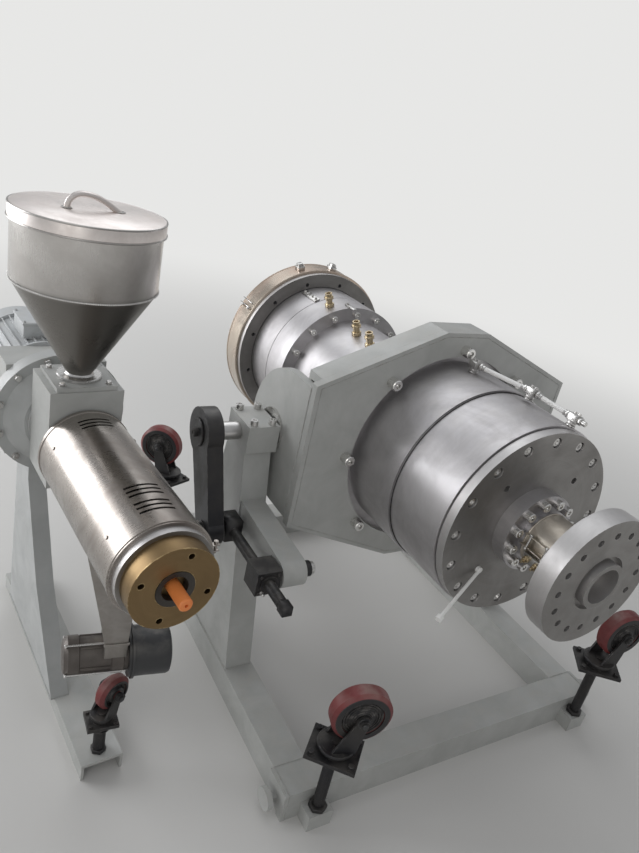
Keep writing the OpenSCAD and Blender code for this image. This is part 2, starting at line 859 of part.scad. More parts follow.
module unit_jack() {
    color("#26262a") unit() jack(0, unit_jack_y, unit_jack_turn, small);
}

module unit_fork() {
    color("#1c1c1f") unit() fork(0, unit_jack_y, unit_jack_turn, small);
}

module unit_wheel() {
    color("#8c2f2f") unit() wheel(0, unit_jack_y, unit_jack_turn, small);
}

// Stands the set centred on its origin, on the floor
module centred() {
    translate([-set_x, -set_y, 0]) children();
}

centred() end_beam(-1);  // front_beam
centred() end_beam(1);  // rear_beam
centred() side_beam(-1);  // left_beam
centred() side_beam(1);  // right_beam
centred() jack_blocks();
centred() jack_screws();
centred() post(-1);  // left_post
centred() post(1);  // right_post
centred() pillow_block(-1);  // left_pillow_block
centred() pillow_block(1);  // right_pillow_block
centred() corner_fork(0);  // fork_front_left
centred() corner_fork(1);  // fork_front_right
centred() corner_fork(2);  // fork_rear_left
centred() corner_fork(3);  // fork_rear_right
centred() corner_wheel(0);  // wheel_front_left
centred() corner_wheel(1);  // wheel_front_right
centred() corner_wheel(2);  // wheel_rear_left
centred() corner_wheel(3);  // wheel_rear_right
centred() yoke_plate();
centred() yoke_box();
centred() cheek(-1);  // left_cheek
centred() cheek(1);  // right_cheek
centred() trunnion_shafts();
centred() front_flange();
centred() front_body();
centred() rear_body();
centred() waist();
centred() rear_rings();
centred() rear_flange();
centred() die_bushing();
centred() mandrel();
centred() heater_band();
centred() adaptor();
centred() neck_heater();
centred() inlet_flange();
centred() top_fittings();
centred() gauge_rod();
centred() tilt_lever();
centred() tilt_spindle();
centred() tilt_nut();
centred() tilt_bracket();
centred() base_channel();
centred() unit_column();
centred() bell_housing();
centred() gearbox();
centred() motor();
centred() throat_block();
centred() hopper();
centred() hopper_lid();
centred() barrel();
centred() barrel_cover();
centred() nose_flange();
centred() screw_tip();
centred() blower();
centred() unit_jack();
centred() unit_fork();
centred() unit_wheel();
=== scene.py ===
# %% [markdown]
# # A small plastic extruder beside its pipe die head
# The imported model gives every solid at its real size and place. This notebook dresses it: it sets up
# the camera and the light, gives each piece its finish, and adds the screws, welds, clamps, threads
# and fittings that are too fine for the solids. The pieces' lengths are in millimetres. The lamps, the
# floor and the finishes are in metres.

# %% Load the frame
import json
import math

import bmesh
import bpy
from mathutils import Matrix, Vector


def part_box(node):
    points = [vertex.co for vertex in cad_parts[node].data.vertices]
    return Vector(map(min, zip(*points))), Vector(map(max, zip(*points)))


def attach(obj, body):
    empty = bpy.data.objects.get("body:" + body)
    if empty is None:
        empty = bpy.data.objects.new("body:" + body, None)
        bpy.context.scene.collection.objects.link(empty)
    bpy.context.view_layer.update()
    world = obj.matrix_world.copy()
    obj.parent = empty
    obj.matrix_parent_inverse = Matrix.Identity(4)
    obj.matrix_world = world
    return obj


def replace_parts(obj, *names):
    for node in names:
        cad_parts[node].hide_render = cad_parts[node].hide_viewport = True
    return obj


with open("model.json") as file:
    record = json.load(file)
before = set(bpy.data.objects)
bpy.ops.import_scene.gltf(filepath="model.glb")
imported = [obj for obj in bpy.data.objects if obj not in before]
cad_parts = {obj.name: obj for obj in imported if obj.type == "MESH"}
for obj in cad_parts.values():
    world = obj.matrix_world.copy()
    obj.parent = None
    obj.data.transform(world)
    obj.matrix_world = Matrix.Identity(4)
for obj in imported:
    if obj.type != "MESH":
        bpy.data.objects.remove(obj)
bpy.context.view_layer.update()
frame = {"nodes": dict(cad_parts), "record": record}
nodes = frame["nodes"]
print("solids:", len(nodes))

# %% [markdown]
# ## Places that everything else is measured from
# The die head is turned about one axis, so its axis comes from the box of the front flange. The screw
# unit stands a few degrees askew. The centres of its nose flange and of its motor both lie on its
# axis, and the line through them gives its direction.

# %% Places
MM = 0.001


def low(node):
    """The lowest corner of a node's box."""
    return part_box(node)[0] / MM


def high(node):
    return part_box(node)[1] / MM


def centre(node):
    return (low(node) + high(node)) / 2


def shifted(x, y, z):
    return Matrix.Translation((x * MM, y * MM, z * MM))


die_x = centre("front_flange").x
die_z = centre("front_flange").z
face_y = low("front_flange").y
nose = centre("nose_flange")
motor_mid = centre("motor")
unit_angle = math.atan2(-(motor_mid.x - nose.x), motor_mid.y - nose.y)
nose_length = 42
unit_place = shifted(*nose) @ Matrix.Rotation(unit_angle, 4, "Z") @ shifted(0, -nose_length / 2, 0)
print("die axis", round(die_x, 1), round(die_z, 1), "unit turned", round(math.degrees(unit_angle), 2))

# %% [markdown]
# ## Camera
# The photograph looks down on the inlet end from the left, with the camera rolled to one side. The
# camera is turned in three plain steps, yaw, pitch and roll, and has no shift.

# %% Camera
eye = (die_x - 1350.1, face_y - 982.2, 1639.2)
yaw, pitch, roll = (math.radians(a) for a in (34.27, -24.37, 12.87))
camera_data = bpy.data.cameras.new("camera")
camera_data.lens = 29.85
camera_data.sensor_width = 36
camera = bpy.data.objects.new("camera", camera_data)
camera.matrix_world = (
    shifted(*eye)
    @ Matrix.Rotation(-yaw, 4, "Z")
    @ Matrix.Rotation(math.pi / 2 + pitch, 4, "X")
    @ Matrix.Rotation(roll, 4, "Z")
)
bpy.context.scene.collection.objects.link(camera)
bpy.context.scene.camera = camera

# %% [markdown]
# ## Floor and light
# A workshop hall lights its machines from long roof windows, so the metal shows broad soft streaks.
# Large area lamps overhead and to the left do that, a weak one fills in from the front, and a pale
# world fills the shade. Rays from the camera see a plain light background, so that the lamps needn't
# make it white.

# %% Floor and backdrop
scene = bpy.context.scene
scene.view_settings.view_transform = "Standard"
BACKDROP = (0.80, 0.80, 0.79, 1)


def feed(tree, socket, value):
    if isinstance(value, bpy.types.NodeSocket):
        tree.links.new(value, socket)
    else:
        socket.default_value = value


def add(tree, kind, inputs=None, **settings):
    """Adds a shader node. inputs gives each socket a value, or the output that feeds it."""
    node = tree.nodes.new("ShaderNode" + kind)
    for key, value in settings.items():
        setattr(node, key, value)
    for key, value in (inputs or {}).items():
        feed(tree, node.inputs[key], value)
    return node


def new_material(name):
    material = bpy.data.materials.new(name)
    material.use_nodes = True
    return material, material.node_tree, material.node_tree.nodes["Principled BSDF"]


def fading_floor():
    """A pale matt floor that turns into the backdrop's colour a few metres away."""
    material, tree, bsdf = new_material("studio_floor")
    bsdf.inputs["Base Color"].default_value = (0.62, 0.61, 0.59, 1)
    bsdf.inputs["Roughness"].default_value = 0.85
    away = add(tree, "VectorMath", {0: add(tree, "TexCoord").outputs["Object"]}, operation="LENGTH")
    fade = add(
        tree, "MapRange", {"Value": away.outputs["Value"], "From Min": 1.6, "From Max": 5.5},
        interpolation_type="SMOOTHSTEP",
    )
    far = add(tree, "Emission", {"Color": BACKDROP})
    blend = add(tree, "MixShader", {0: fade.outputs["Result"], 1: bsdf.outputs[0], 2: far.outputs[0]})
    feed(tree, tree.nodes["Material Output"].inputs["Surface"], blend.outputs[0])
    return material


floor_mesh = bpy.data.meshes.new("floor")
bm = bmesh.new()
bmesh.ops.create_grid(bm, x_segments=1, y_segments=1, size=14)
bm.to_mesh(floor_mesh)
bm.free()
floor = bpy.data.objects.new("floor", floor_mesh)
floor_mesh.materials.append(fading_floor())
scene.collection.objects.link(floor)

# %% World and lamps
world = bpy.data.worlds.new("studio")
world.use_nodes = True
scene.world = world
tree = world.node_tree
upward = add(tree, "SeparateXYZ", {0: add(tree, "TexCoord").outputs["Generated"]}).outputs["Z"]
from_below = add(tree, "Math", {0: upward, 1: 0.5, 2: 0.5}, operation="MULTIPLY_ADD").outputs[0]
sky = add(tree, "ValToRGB", {0: from_below})
stops = ((0.30, (0.30, 0.29, 0.27, 1)), (0.85, (0.95, 0.97, 1.0, 1)))
for element, (position, colour) in zip(sky.color_ramp.elements, stops):
    element.position, element.color = position, colour
background = tree.nodes["Background"]
feed(tree, background.inputs["Color"], sky.outputs[0])
feed(tree, background.inputs["Strength"], 0.5)
seen = add(tree, "Background", {"Color": BACKDROP, "Strength": 1})
camera_ray = add(tree, "LightPath").outputs["Is Camera Ray"]
mixed = add(tree, "MixShader", {0: camera_ray, 1: background.outputs[0], 2: seen.outputs[0]})
feed(tree, tree.nodes["World Output"].inputs["Surface"], mixed.outputs[0])


MIDDLE = Vector((0, 0, 0.6))


def area_lamp(name, place, size, power, colour):
    """A rectangular lamp that faces the middle of the machine."""
    data = bpy.data.lights.new(name, "AREA")
    data.shape = "RECTANGLE"
    data.size, data.size_y = size
    data.energy = power
    data.color = colour
    lamp = bpy.data.objects.new(name, data)
    lamp.location = place
    lamp.rotation_euler = (MIDDLE - Vector(place)).to_track_quat("-Z", "Y").to_euler()
    scene.collection.objects.link(lamp)


area_lamp("roof_window", (0.4, 2.2, 4.2), (3.0, 4.0), 46, (0.96, 0.98, 1.0))
area_lamp("left_window", (-3.9, 3.0, 1.8), (3.4, 2.6), 140, (0.97, 0.98, 1.0))
area_lamp("front_fill", (-3.4, -3.6, 2.4), (2.4, 2.4), 26, (1.0, 0.98, 0.95))

# %% [markdown]
# ## Shared shader groups
# Four effects come back on many finishes, so each is built once: lathe marks that follow the turning
# axis, cloudy smudges, wear on the edges, and dust that settles on what faces up.

# %% Group helpers
FLOAT, VECTOR = "NodeSocketFloat", "NodeSocketVector"


def new_group(name, inputs, outputs):
    """An empty group, with the sockets it gives its nodes and the ones it takes from them."""
    tree = bpy.data.node_groups.new(name, "ShaderNodeTree")
    for label, kind, value in inputs:
        socket = tree.interface.new_socket(name=label, in_out="INPUT", socket_type=kind)
        if value is not None:
            socket.default_value = value
    for label in outputs:
        tree.interface.new_socket(name=label, in_out="OUTPUT", socket_type=FLOAT)
    return tree, tree.nodes.new("NodeGroupInput").outputs, tree.nodes.new("NodeGroupOutput").inputs


def maths(tree, operation, a, b=0.5, c=0.5, clamp=False):
    return add(tree, "Math", {0: a, 1: b, 2: c}, operation=operation, use_clamp=clamp).outputs[0]


def remap(tree, value, low_in, high_in, low_out=0.0, high_out=1.0):
    span = {"From Min": low_in, "From Max": high_in, "To Min": low_out, "To Max": high_out}
    return add(tree, "MapRange", {"Value": value, **span}).outputs["Result"]


def noise(tree, vector, scale, detail=2.0, roughness=0.5, distortion=0.0, flat=False):
    shape = {"Detail": detail, "Roughness": roughness, "Distortion": distortion}
    return add(
        tree, "TexNoise", {"Vector": vector, "Scale": scale, **shape}, noise_dimensions="2D" if flat else "3D"
    ).outputs["Fac"]


# %% Lathe marks
def build_lathe_marks():
    tree, given, wanted = new_group(
        "lathe marks", [("Vector", VECTOR, None), ("Scale", FLOAT, 900.0)], ["Fine", "Broad"]
    )
    x, y, z = add(tree, "SeparateXYZ", {0: given["Vector"]}).outputs
    squares = maths(tree, "ADD", maths(tree, "MULTIPLY", x, x), maths(tree, "MULTIPLY", z, z))
    join = add(tree, "CombineXYZ", {"X": maths(tree, "SQRT", squares), "Y": y}).outputs[0]
    feed(tree, wanted["Fine"], noise(tree, join, given["Scale"], 3, flat=True))
    feed(tree, wanted["Broad"], noise(tree, join, 45, flat=True))
    return tree


# %% Smudges
def build_smudges():
    tree, given, wanted = new_group("smudges", [("Vector", VECTOR, None), ("Scale", FLOAT, 9.0)], ["Mask"])
    wide = noise(tree, given["Vector"], given["Scale"], 6, 0.62, 0.5)
    feed(tree, wanted["Mask"], remap(tree, wide, 0.38, 0.66))
    return tree


# %% Worn edges
def build_worn_edges():
    tree, given, wanted = new_group(
        "worn edges", [("Vector", VECTOR, None), ("Reach", FLOAT, 0.003)], ["Mask"]
    )
    rounded = add(tree, "Bevel", {"Radius": given["Reach"]}, samples=4).outputs[0]
    plain = add(tree, "NewGeometry").outputs["Normal"]
    dot = add(tree, "VectorMath", {0: rounded, 1: plain}, operation="DOT_PRODUCT").outputs["Value"]
    edge = remap(tree, maths(tree, "SUBTRACT", 1.0, dot), 0.04, 0.20)
    broken = remap(tree, noise(tree, given["Vector"], 60, 4), 0.46, 0.60)
    feed(tree, wanted["Mask"], maths(tree, "MULTIPLY", edge, broken, clamp=True))
    return tree


# %% Settled dust
def build_dust():
    tree, given, wanted = new_group("dust", [("Vector", VECTOR, None)], ["Mask"])
    normal = add(tree, "NewGeometry").outputs["Normal"]
    faces_up = remap(tree, add(tree, "SeparateXYZ", {0: normal}).outputs["Z"], 0.35, 1.0)
    cloud = remap(tree, noise(tree, given["Vector"], 22, 5), 0.40, 0.75)
    feed(tree, wanted["Mask"], maths(tree, "MULTIPLY", faces_up, cloud, clamp=True))
    return tree


lathe_marks, smudges, worn_edges, dust = (
    build_lathe_marks(), build_smudges(), build_worn_edges(), build_dust()
)

# %% [markdown]
# ## Finishes
# Every finish is the same chain with its own values: two base tones mixed by smudges, a pattern that
# the tool or the rolling mill left, bare or dark edges, and dust. The pattern also moves the
# roughness and a very slight bump, because that is how the eye tells turned steel from paint. A rim
# tone paints a highlight on what faces away from the die axis, and a low tone paints shade on what
# lies below a height.

# %% The finish builder
DUST_TONE = (0.46, 0.43, 0.38)
BUMP_DEPTH = 0.0006


def finish(name, tones, metallic, roughness, pattern="cast", **look):
    """tones are two base colours, roughness its lowest and highest value."""
    material, tree, bsdf = new_material(name)
    feed(tree, bsdf.inputs["Metallic"], metallic)
    coords = add(tree, "TexCoord").outputs
    spot = coords["Object"]
    shift = {"Location": look.get("location", (0, 0, 0)), "Scale": look.get("stretch", (1, 1, 1))}
    where = add(tree, "Mapping", {"Vector": spot, **shift}).outputs["Vector"]

    def grouped(group, vector=spot, **values):
        return add(tree, "Group", {"Vector": vector, **values}, node_tree=group).outputs

    def mix(a, b, factor):
        pair = {6: (*a, 1) if isinstance(a, tuple) else a, 7: (*b, 1) if isinstance(b, tuple) else b}
        return add(tree, "Mix", {"Factor": factor, **pair}, data_type="RGBA").outputs[2]

    blend = grouped(smudges, Scale=look.get("smudge_scale", 9.0))["Mask"]
    if pattern == "turned":
        marks = grouped(lathe_marks, where, Scale=look.get("scale", 900.0))
        height, streaks = marks["Fine"], look.get("streaks", 0.6)
        clouds = maths(tree, "MULTIPLY", blend, 1 - streaks)
        blend = maths(tree, "MULTIPLY_ADD", marks["Broad"], streaks, clouds)
    else:
        height = noise(tree, where, look.get("scale", 420.0), 3)

    colour = mix(tones[0], tones[1], blend)
    # Painted shade: below the given height the colour turns to the dark tone.
    if "low_tone" in look:
        edge_low, edge_high, tone = look["low_tone"]
        level = add(tree, "SeparateXYZ", {0: spot}).outputs["Z"]
        colour = mix(tone, colour, remap(tree, level, edge_low, edge_high))
    # Painted highlight: the round sides, which face away from the die axis, take a lighter rim tone, varied
    # by the smudges.
    if "rim" in look:
        facing_axis = maths(tree, "ABSOLUTE", add(tree, "SeparateXYZ", {0: coords["Normal"]}).outputs["Y"])
        rim = mix(look["rim"], tuple(v * 0.75 for v in look["rim"]), blend)
        colour = mix(rim, colour, remap(tree, facing_axis, 0.35, 0.65))
    if "edge" in look:
        colour = mix(colour, look["edge"], grouped(worn_edges, Reach=look.get("edge_reach", 0.003))["Mask"])
    if "dust" in look:
        amount = maths(tree, "MULTIPLY", grouped(dust)["Mask"], look["dust"])
        colour = mix(colour, DUST_TONE, amount)
    feed(tree, bsdf.inputs["Base Color"], colour)

    uneven = maths(tree, "ADD", maths(tree, "MULTIPLY", height, 0.6), maths(tree, "MULTIPLY", blend, 0.4))
    feed(tree, bsdf.inputs["Roughness"], remap(tree, uneven, 0.3, 0.7, *roughness))
    bump = {"Strength": look.get("bump", 0.08), "Distance": BUMP_DEPTH, "Height": height}
    feed(tree, bsdf.inputs["Normal"], add(tree, "Bump", bump).outputs["Normal"])
    return material


on_die_axis = (-die_x * MM, 0, -die_z * MM)

# %% The finishes
grey_enamel = finish(
    "grey_enamel", ((0.44, 0.445, 0.43), (0.38, 0.385, 0.37)), 0.0, (0.38, 0.54), scale=520,
    bump=0.05, edge=(0.30, 0.29, 0.27), dust=0.30,
)
# Painted shade: the screw unit's pale paint is set a little darker than the frame's grey.
shaded_pale_enamel = finish(
    "shaded_pale_enamel", ((0.43, 0.44, 0.435), (0.37, 0.38, 0.375)), 0.0, (0.34, 0.48), scale=520,
    bump=0.05, edge=(0.32, 0.31, 0.29), dust=0.25,
)
turned_steel = finish(
    "turned_steel", ((0.64, 0.625, 0.635), (0.44, 0.425, 0.43)), 1.0, (0.40, 0.58), "turned",
    location=on_die_axis, bump=0.07, dust=0.20, smudge_scale=6, streaks=0.22,
)
dark_turned_steel = finish(
    "dark_turned_steel", ((0.33, 0.32, 0.31), (0.24, 0.23, 0.22)), 1.0, (0.40, 0.58), "turned",
    location=on_die_axis, bump=0.08, edge=(0.62, 0.61, 0.60), streaks=0.35, smudge_scale=7,
    # The rim tone is a painted highlight on the round sides of the flanges and the mandrel cap.
    rim=(0.64, 0.625, 0.62),
)
band_sheet = finish(
    "band_sheet", ((0.66, 0.58, 0.49), (0.56, 0.43, 0.35)), 1.0, (0.22, 0.36), smudge_scale=4,
    scale=26, bump=0.03,
)
black_steel = finish(
    "black_steel", ((0.026, 0.026, 0.029), (0.046, 0.043, 0.041)), 0.4, (0.34, 0.55), scale=300,
    bump=0.08, edge=(0.16, 0.15, 0.14), dust=0.18,
)
zinc = finish("zinc", ((0.66, 0.65, 0.63), (0.54, 0.53, 0.52)), 1.0, (0.24, 0.38), scale=500)
bright_zinc = finish("bright_zinc", ((0.84, 0.83, 0.81), (0.70, 0.69, 0.67)), 1.0, (0.18, 0.32), scale=500)
screw_black = finish("screw_black", ((0.05, 0.05, 0.055), (0.08, 0.08, 0.08)), 0.8, (0.30, 0.45), scale=500)
# The nose brass's dark brown tones are partly its own colour and partly painted shade on its face.
yellow_brass = finish(
    "yellow_brass", ((0.29, 0.20, 0.10), (0.19, 0.13, 0.068)), 1.0, (0.36, 0.54), "turned",
    location=(-nose.x * MM, 0, -nose.z * MM), bump=0.12, edge=(0.72, 0.56, 0.30), edge_reach=0.004,
)
band_brass = finish("band_brass", ((0.60, 0.50, 0.34), (0.48, 0.39, 0.25)), 1.0, (0.26, 0.42), scale=200)
neck_sheet = finish(
    "neck_sheet", ((0.58, 0.535, 0.47), (0.46, 0.41, 0.345)), 1.0, (0.30, 0.46), scale=160, smudge_scale=18
)
stainless = finish(
    "stainless", ((0.58, 0.56, 0.54), (0.42, 0.40, 0.38)), 1.0, (0.24, 0.42), scale=60,
    stretch=(14, 14, 0.6), bump=0.04, smudge_scale=5,
    # Painted shade on the hopper's cone: below the bin the stainless turns dark.
    low_tone=(1.160, 1.178, (0.20, 0.19, 0.175)),
)
lid_sheet = finish(
    "lid_sheet", ((0.84, 0.785, 0.755), (0.70, 0.645, 0.615)), 1.0, (0.36, 0.52), scale=220, smudge_scale=12
)
cover_sheet = finish(
    "cover_sheet", ((0.42, 0.39, 0.36), (0.25, 0.22, 0.20)), 1.0, (0.22, 0.38), scale=90,
    stretch=(1, 10, 1), bump=0.05, smudge_scale=7,
)
duct_sheet = finish(
    "duct_sheet", ((0.34, 0.32, 0.30), (0.26, 0.24, 0.22)), 0.9, (0.38, 0.55), scale=120,
    bump=0.06, smudge_scale=10, edge=(0.5, 0.48, 0.45),
)
red_tyre = finish(
    "red_tyre", ((0.19, 0.032, 0.032), (0.12, 0.026, 0.026)), 0.0, (0.42, 0.60), scale=260,
    bump=0.10, dust=0.45,
)
orange_plastic = finish(
    "orange_plastic", ((0.85, 0.27, 0.07), (0.75, 0.22, 0.06)), 0.0, (0.35, 0.50), scale=240, bump=0.10
)
fan_paint = finish(
    "fan_paint", ((0.030, 0.031, 0.034), (0.044, 0.044, 0.045)), 0.0, (0.36, 0.55), scale=300,
    bump=0.10, dust=0.35,
)
motor_paint = finish(
    "motor_paint", ((0.52, 0.535, 0.54), (0.46, 0.475, 0.48)), 0.1, (0.36, 0.50), scale=320,
    bump=0.12, edge=(0.28, 0.27, 0.26), dust=0.35,
)
brown_casting = finish(
    "brown_casting", ((0.115, 0.10, 0.09), (0.075, 0.066, 0.06)), 0.4, (0.40, 0.58), scale=260,
    bump=0.15, dust=0.3,
)
white_sleeve = finish("white_sleeve", ((0.88, 0.875, 0.86), (0.80, 0.79, 0.77)), 0.0, (0.38, 0.54), scale=320)
dark_bore = finish("dark_bore", ((0.045, 0.042, 0.038), (0.08, 0.075, 0.068)), 0.6, (0.45, 0.65), scale=200)

FINISH_OF_SLOT = {
    "frame_grey": grey_enamel,
    "die_steel": turned_steel,
    "dark_steel": dark_turned_steel,
    "band_steel": band_sheet,
    "black_steel": black_steel,
    "heater_brass": neck_sheet,
    "nose_brass": yellow_brass,
    "stainless": stainless,
    "cover_steel": cover_sheet,
    "red_wheel": red_tyre,
    "orange_plug": orange_plastic,
    "fan_black": fan_paint,
    "motor_grey": motor_paint,
    "nickel": zinc,
    "white_rod": white_sleeve,
}
slot_of_node = {row["node"]: row["material_slot"] for row in frame["record"]["subparts"]}
for node_name, solid in nodes.items():
    solid.data.materials.clear()
    solid.data.materials.append(FINISH_OF_SLOT[slot_of_node[node_name]])
# The bell housing and the column take the pale paint with its painted shade.
for node_name in ("bell_housing", "unit_column"):
    nodes[node_name].data.materials[0] = shaded_pale_enamel
nodes["front_flange"].data.materials[0] = dark_turned_steel
nodes["inlet_flange"].data.materials[0] = dark_turned_steel
print("finishes:", len(FINISH_OF_SLOT))

# %% [markdown]
# ## Making and placing small pieces
# A round piece is a profile of a few points, spun about Z and then turned to face where it belongs.
# Screws are built once for each size and stamped wherever the same screw comes back, all into one
# mesh, so a ring of sixteen is still one piece. Each piece ends closed, with its normals outwards and
# its sharp edges marked.


# %% Piece helpers
def facing(place, direction, twist=0.0):
    """A frame at the place with its Z along the direction."""
    turn_to = Vector(direction).to_track_quat("Z", "Y").to_matrix().to_4x4()
    return shifted(*place) @ turn_to @ Matrix.Rotation(twist, 4, "Z")


def towards(axis):
    """Turns a piece's Z to an axis of its frame."""
    quarter = math.pi / 2 if axis in ("+X", "-Y") else -math.pi / 2
    return Matrix.Rotation(quarter, 4, "Y" if "X" in axis else "X")


def turn(bm, profile, place=Matrix(), steps=48, ring=False):
    """Spins (radius, height) points about the place's Z. A ring's profile closes on itself."""
    verts = [bm.verts.new(place @ Vector((r * MM, 0, z * MM))) for r, z in profile]
    pairs = list(zip(verts, verts[1:]))
    if ring:
        pairs.append((verts[-1], verts[0]))
    edges = [bm.edges.new(pair) for pair in pairs]
    bmesh.ops.spin(
        bm, geom=verts + edges, cent=place.translation, axis=place.to_3x3() @ Vector((0, 0, 1)),
        angle=math.tau, steps=steps, use_merge=True,
    )


def edges_of(made):
    return list({edge for vert in made["verts"] for edge in vert.link_edges})


def soften(bm, edges, width, segments=2):
    bmesh.ops.bevel(
        bm, geom=edges, offset=width * MM, segments=segments, profile=0.5, affect="EDGES", material=-1
    )


def block(bm, size, place=Matrix(), bevel=0.0):
    """A box with its centre at the place, and its edges broken."""
    scaled = place @ Matrix.Diagonal((*(length * MM for length in size), 1))
    soften(bm, edges_of(bmesh.ops.create_cube(bm, size=1, matrix=scaled)), bevel)


def disc(bm, radius, height, place, chamfer=1.0, steps=32):
    """A solid round with its outer edges broken."""
    rim = radius - chamfer
    side = [(0, 0), (rim, 0), (radius, chamfer), (radius, height - chamfer), (rim, height), (0, height)]
    turn(bm, side, place, steps)


def hexagon(bm, flats_r, height, place, corner=1.155, bevel=0.08):
    """A hexagon's corner radius and its bevel are shares of its radius to the flats."""
    made = bmesh.ops.create_cone(
        bm, cap_ends=True, segments=6, radius1=flats_r * corner * MM, radius2=flats_r * corner * MM,
        depth=height * MM, matrix=place @ shifted(0, 0, height / 2),
    )
    soften(bm, edges_of(made), flats_r * bevel, 1)


def hoop(bm, radius, wire_r, place, steps=64, sides=8):
    """A ring of round wire about the place's Z."""
    angles = [math.tau * i / sides for i in range(sides)]
    turn(bm, [(radius + wire_r * math.cos(a), wire_r * math.sin(a)) for a in angles], place, steps, ring=True)


def drop(bm, radius, place):
    bmesh.ops.create_icosphere(bm, subdivisions=1, radius=radius * MM, matrix=place)


def weld(bm, start, end, radius=2.8):
    """A row of flattened drops, as the puddles of a weld."""
    start, end = Vector(start), Vector(end)
    run = end - start
    steps = max(2, round(run.length / (radius * 1.3)))
    along = run.to_track_quat("X", "Z").to_matrix().to_4x4() @ Matrix.Diagonal((0.8, 1, 1, 1))
    for i in range(steps + 1):
        drop(bm, radius, shifted(*(start + run * i / steps)) @ along)


def drawn_out(bm, outline, move):
    """A flat outline in metres, drawn out along a vector."""
    face = bm.faces.new([bm.verts.new(point) for point in outline])
    made = bmesh.ops.extrude_face_region(bm, geom=[face])["geom"]
    bmesh.ops.translate(bm, verts=[item for item in made if isinstance(item, bmesh.types.BMVert)], vec=move)


def swept(bm, points, radius, place=Matrix(), sides=12):
    """A round bar or tube along a smooth curve through the points."""
    curve = bpy.data.curves.new("path", "CURVE")
    curve.dimensions = "3D"
    curve.bevel_depth = radius * MM
    curve.bevel_resolution = max(1, sides // 4 - 1)
    curve.use_fill_caps = True
    curve.resolution_u = 8
    spline = curve.splines.new("BEZIER")
    spline.bezier_points.add(len(points) - 1)
    for knot, point in zip(spline.bezier_points, points):
        knot.co = place @ (Vector(point) * MM)
        knot.handle_left_type = knot.handle_right_type = "AUTO"
    holder = bpy.data.objects.new("path", curve)
    scene.collection.objects.link(holder)
    mesh = bpy.data.meshes.new_from_object(holder.evaluated_get(bpy.context.evaluated_depsgraph_get()))
    bm.from_mesh(mesh)
    bpy.data.objects.remove(holder)
    bpy.data.meshes.remove(mesh)


def closed_mesh(name, bm):
    bmesh.ops.remove_doubles(bm, verts=bm.verts, dist=1e-6)
    bmesh.ops.recalc_face_normals(bm, faces=bm.faces)
    mesh = bpy.data.meshes.new(name)
    bm.to_mesh(mesh)
    bm.free()
    return mesh


def piece(name, bm, material, body, sharp=35):
    mesh = closed_mesh(name, bm)
    mesh.materials.append(material)
    mesh.polygons.foreach_set("use_smooth", [True] * len(mesh.polygons))
    mesh.set_sharp_from_angle(angle=math.radians(sharp))
    made = bpy.data.objects.new(name, mesh)
    scene.collection.objects.link(made)
    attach(made, body)
    return made


# %% Screws
def build_cap_screw(bm, head_r, head_h):
    """A socket head cap screw's head, with its hexagon recess."""
    chamfer = head_r * 0.14
    side = [(0, 0), (head_r, 0), (head_r, head_h - chamfer), (head_r - chamfer, head_h)]
    turn(bm, side + [(head_r * 0.62, head_h)], steps=24)
    rim = [edge for edge in bm.edges if edge.is_boundary]
    mouth = edges_of(bmesh.ops.create_circle(
        bm, cap_ends=False, segments=6, radius=head_r * 0.52 * MM, matrix=shifted(0, 0, head_h)
    ))
    bmesh.ops.bridge_loops(bm, edges=rim + mouth)
    wall = bmesh.ops.extrude_edge_only(bm, edges=mouth)["geom"]
    floor_verts = [item for item in wall if isinstance(item, bmesh.types.BMVert)]
    bmesh.ops.translate(bm, verts=floor_verts, vec=(0, 0, -head_h * 0.55 * MM))
    floor_edges = [item for item in wall if isinstance(item, bmesh.types.BMEdge)]
    bmesh.ops.edgeloop_fill(bm, edges=[edge for edge in floor_edges if edge.is_boundary])


def build_hex_bolt(bm, flats_r, head_h):
    """A hexagon head on its washer."""
    washer_r, washer_h = flats_r * 1.35, head_h * 0.22
    turn(bm, [(0, 0), (washer_r, 0), (washer_r, washer_h), (0, washer_h)], steps=24)
    hexagon(bm, flats_r, head_h, shifted(0, 0, washer_h), 1.12, 0.10)


templates = {}


def screw(bm, head_r, head_h, place, build=build_cap_screw):
    """Stamps a screw's head, which is built once for each size."""
    size = (build, head_r, head_h)
    if size not in templates:
        shape = bmesh.new()
        build(shape, head_r, head_h)
        templates[size] = closed_mesh("template", shape)
    copy = templates[size].copy()
    copy.transform(place)
    bm.from_mesh(copy)
    bpy.data.meshes.remove(copy)


def screw_ring(bm, head_r, head_h, count, radius, y, degrees=0, toward=-1):
    """Stamps screws round the die axis, facing along it."""
    for i in range(count):
        angle = math.radians(degrees) + math.tau * i / count
        spot = (die_x + radius * math.cos(angle), y, die_z + radius * math.sin(angle))
        screw(bm, head_r, head_h, facing(spot, (0, toward, 0), angle))


# %% [markdown]
# ## Places on the round and on the screw unit
# A fitting on the die is placed by its radius, its angle and its distance from the front flange. One
# on the screw unit is placed in the unit's own frame: across, back from the nose, and above the floor.


# %% Placing helpers
def on_die(radius, degrees, length):
    """A frame on the die with its Z pointing outwards and its Y along the die."""
    angle = math.radians(degrees)
    spot = shifted(die_x + radius * math.cos(angle), face_y + length, die_z + radius * math.sin(angle))
    return spot @ Matrix.Rotation(math.pi / 2 - angle, 4, "Y")


def on_unit(x, y, z):
    return unit_place @ shifted(x, y, z - nose.z)


# %% [markdown]
# ## Screws of the die head
# The front flange is held by sixteen cap screws in counterbores, the adaptor by twelve that stand
# proud, and the yoke by eight large ones. The rear rings and the rear flange have their own circles.

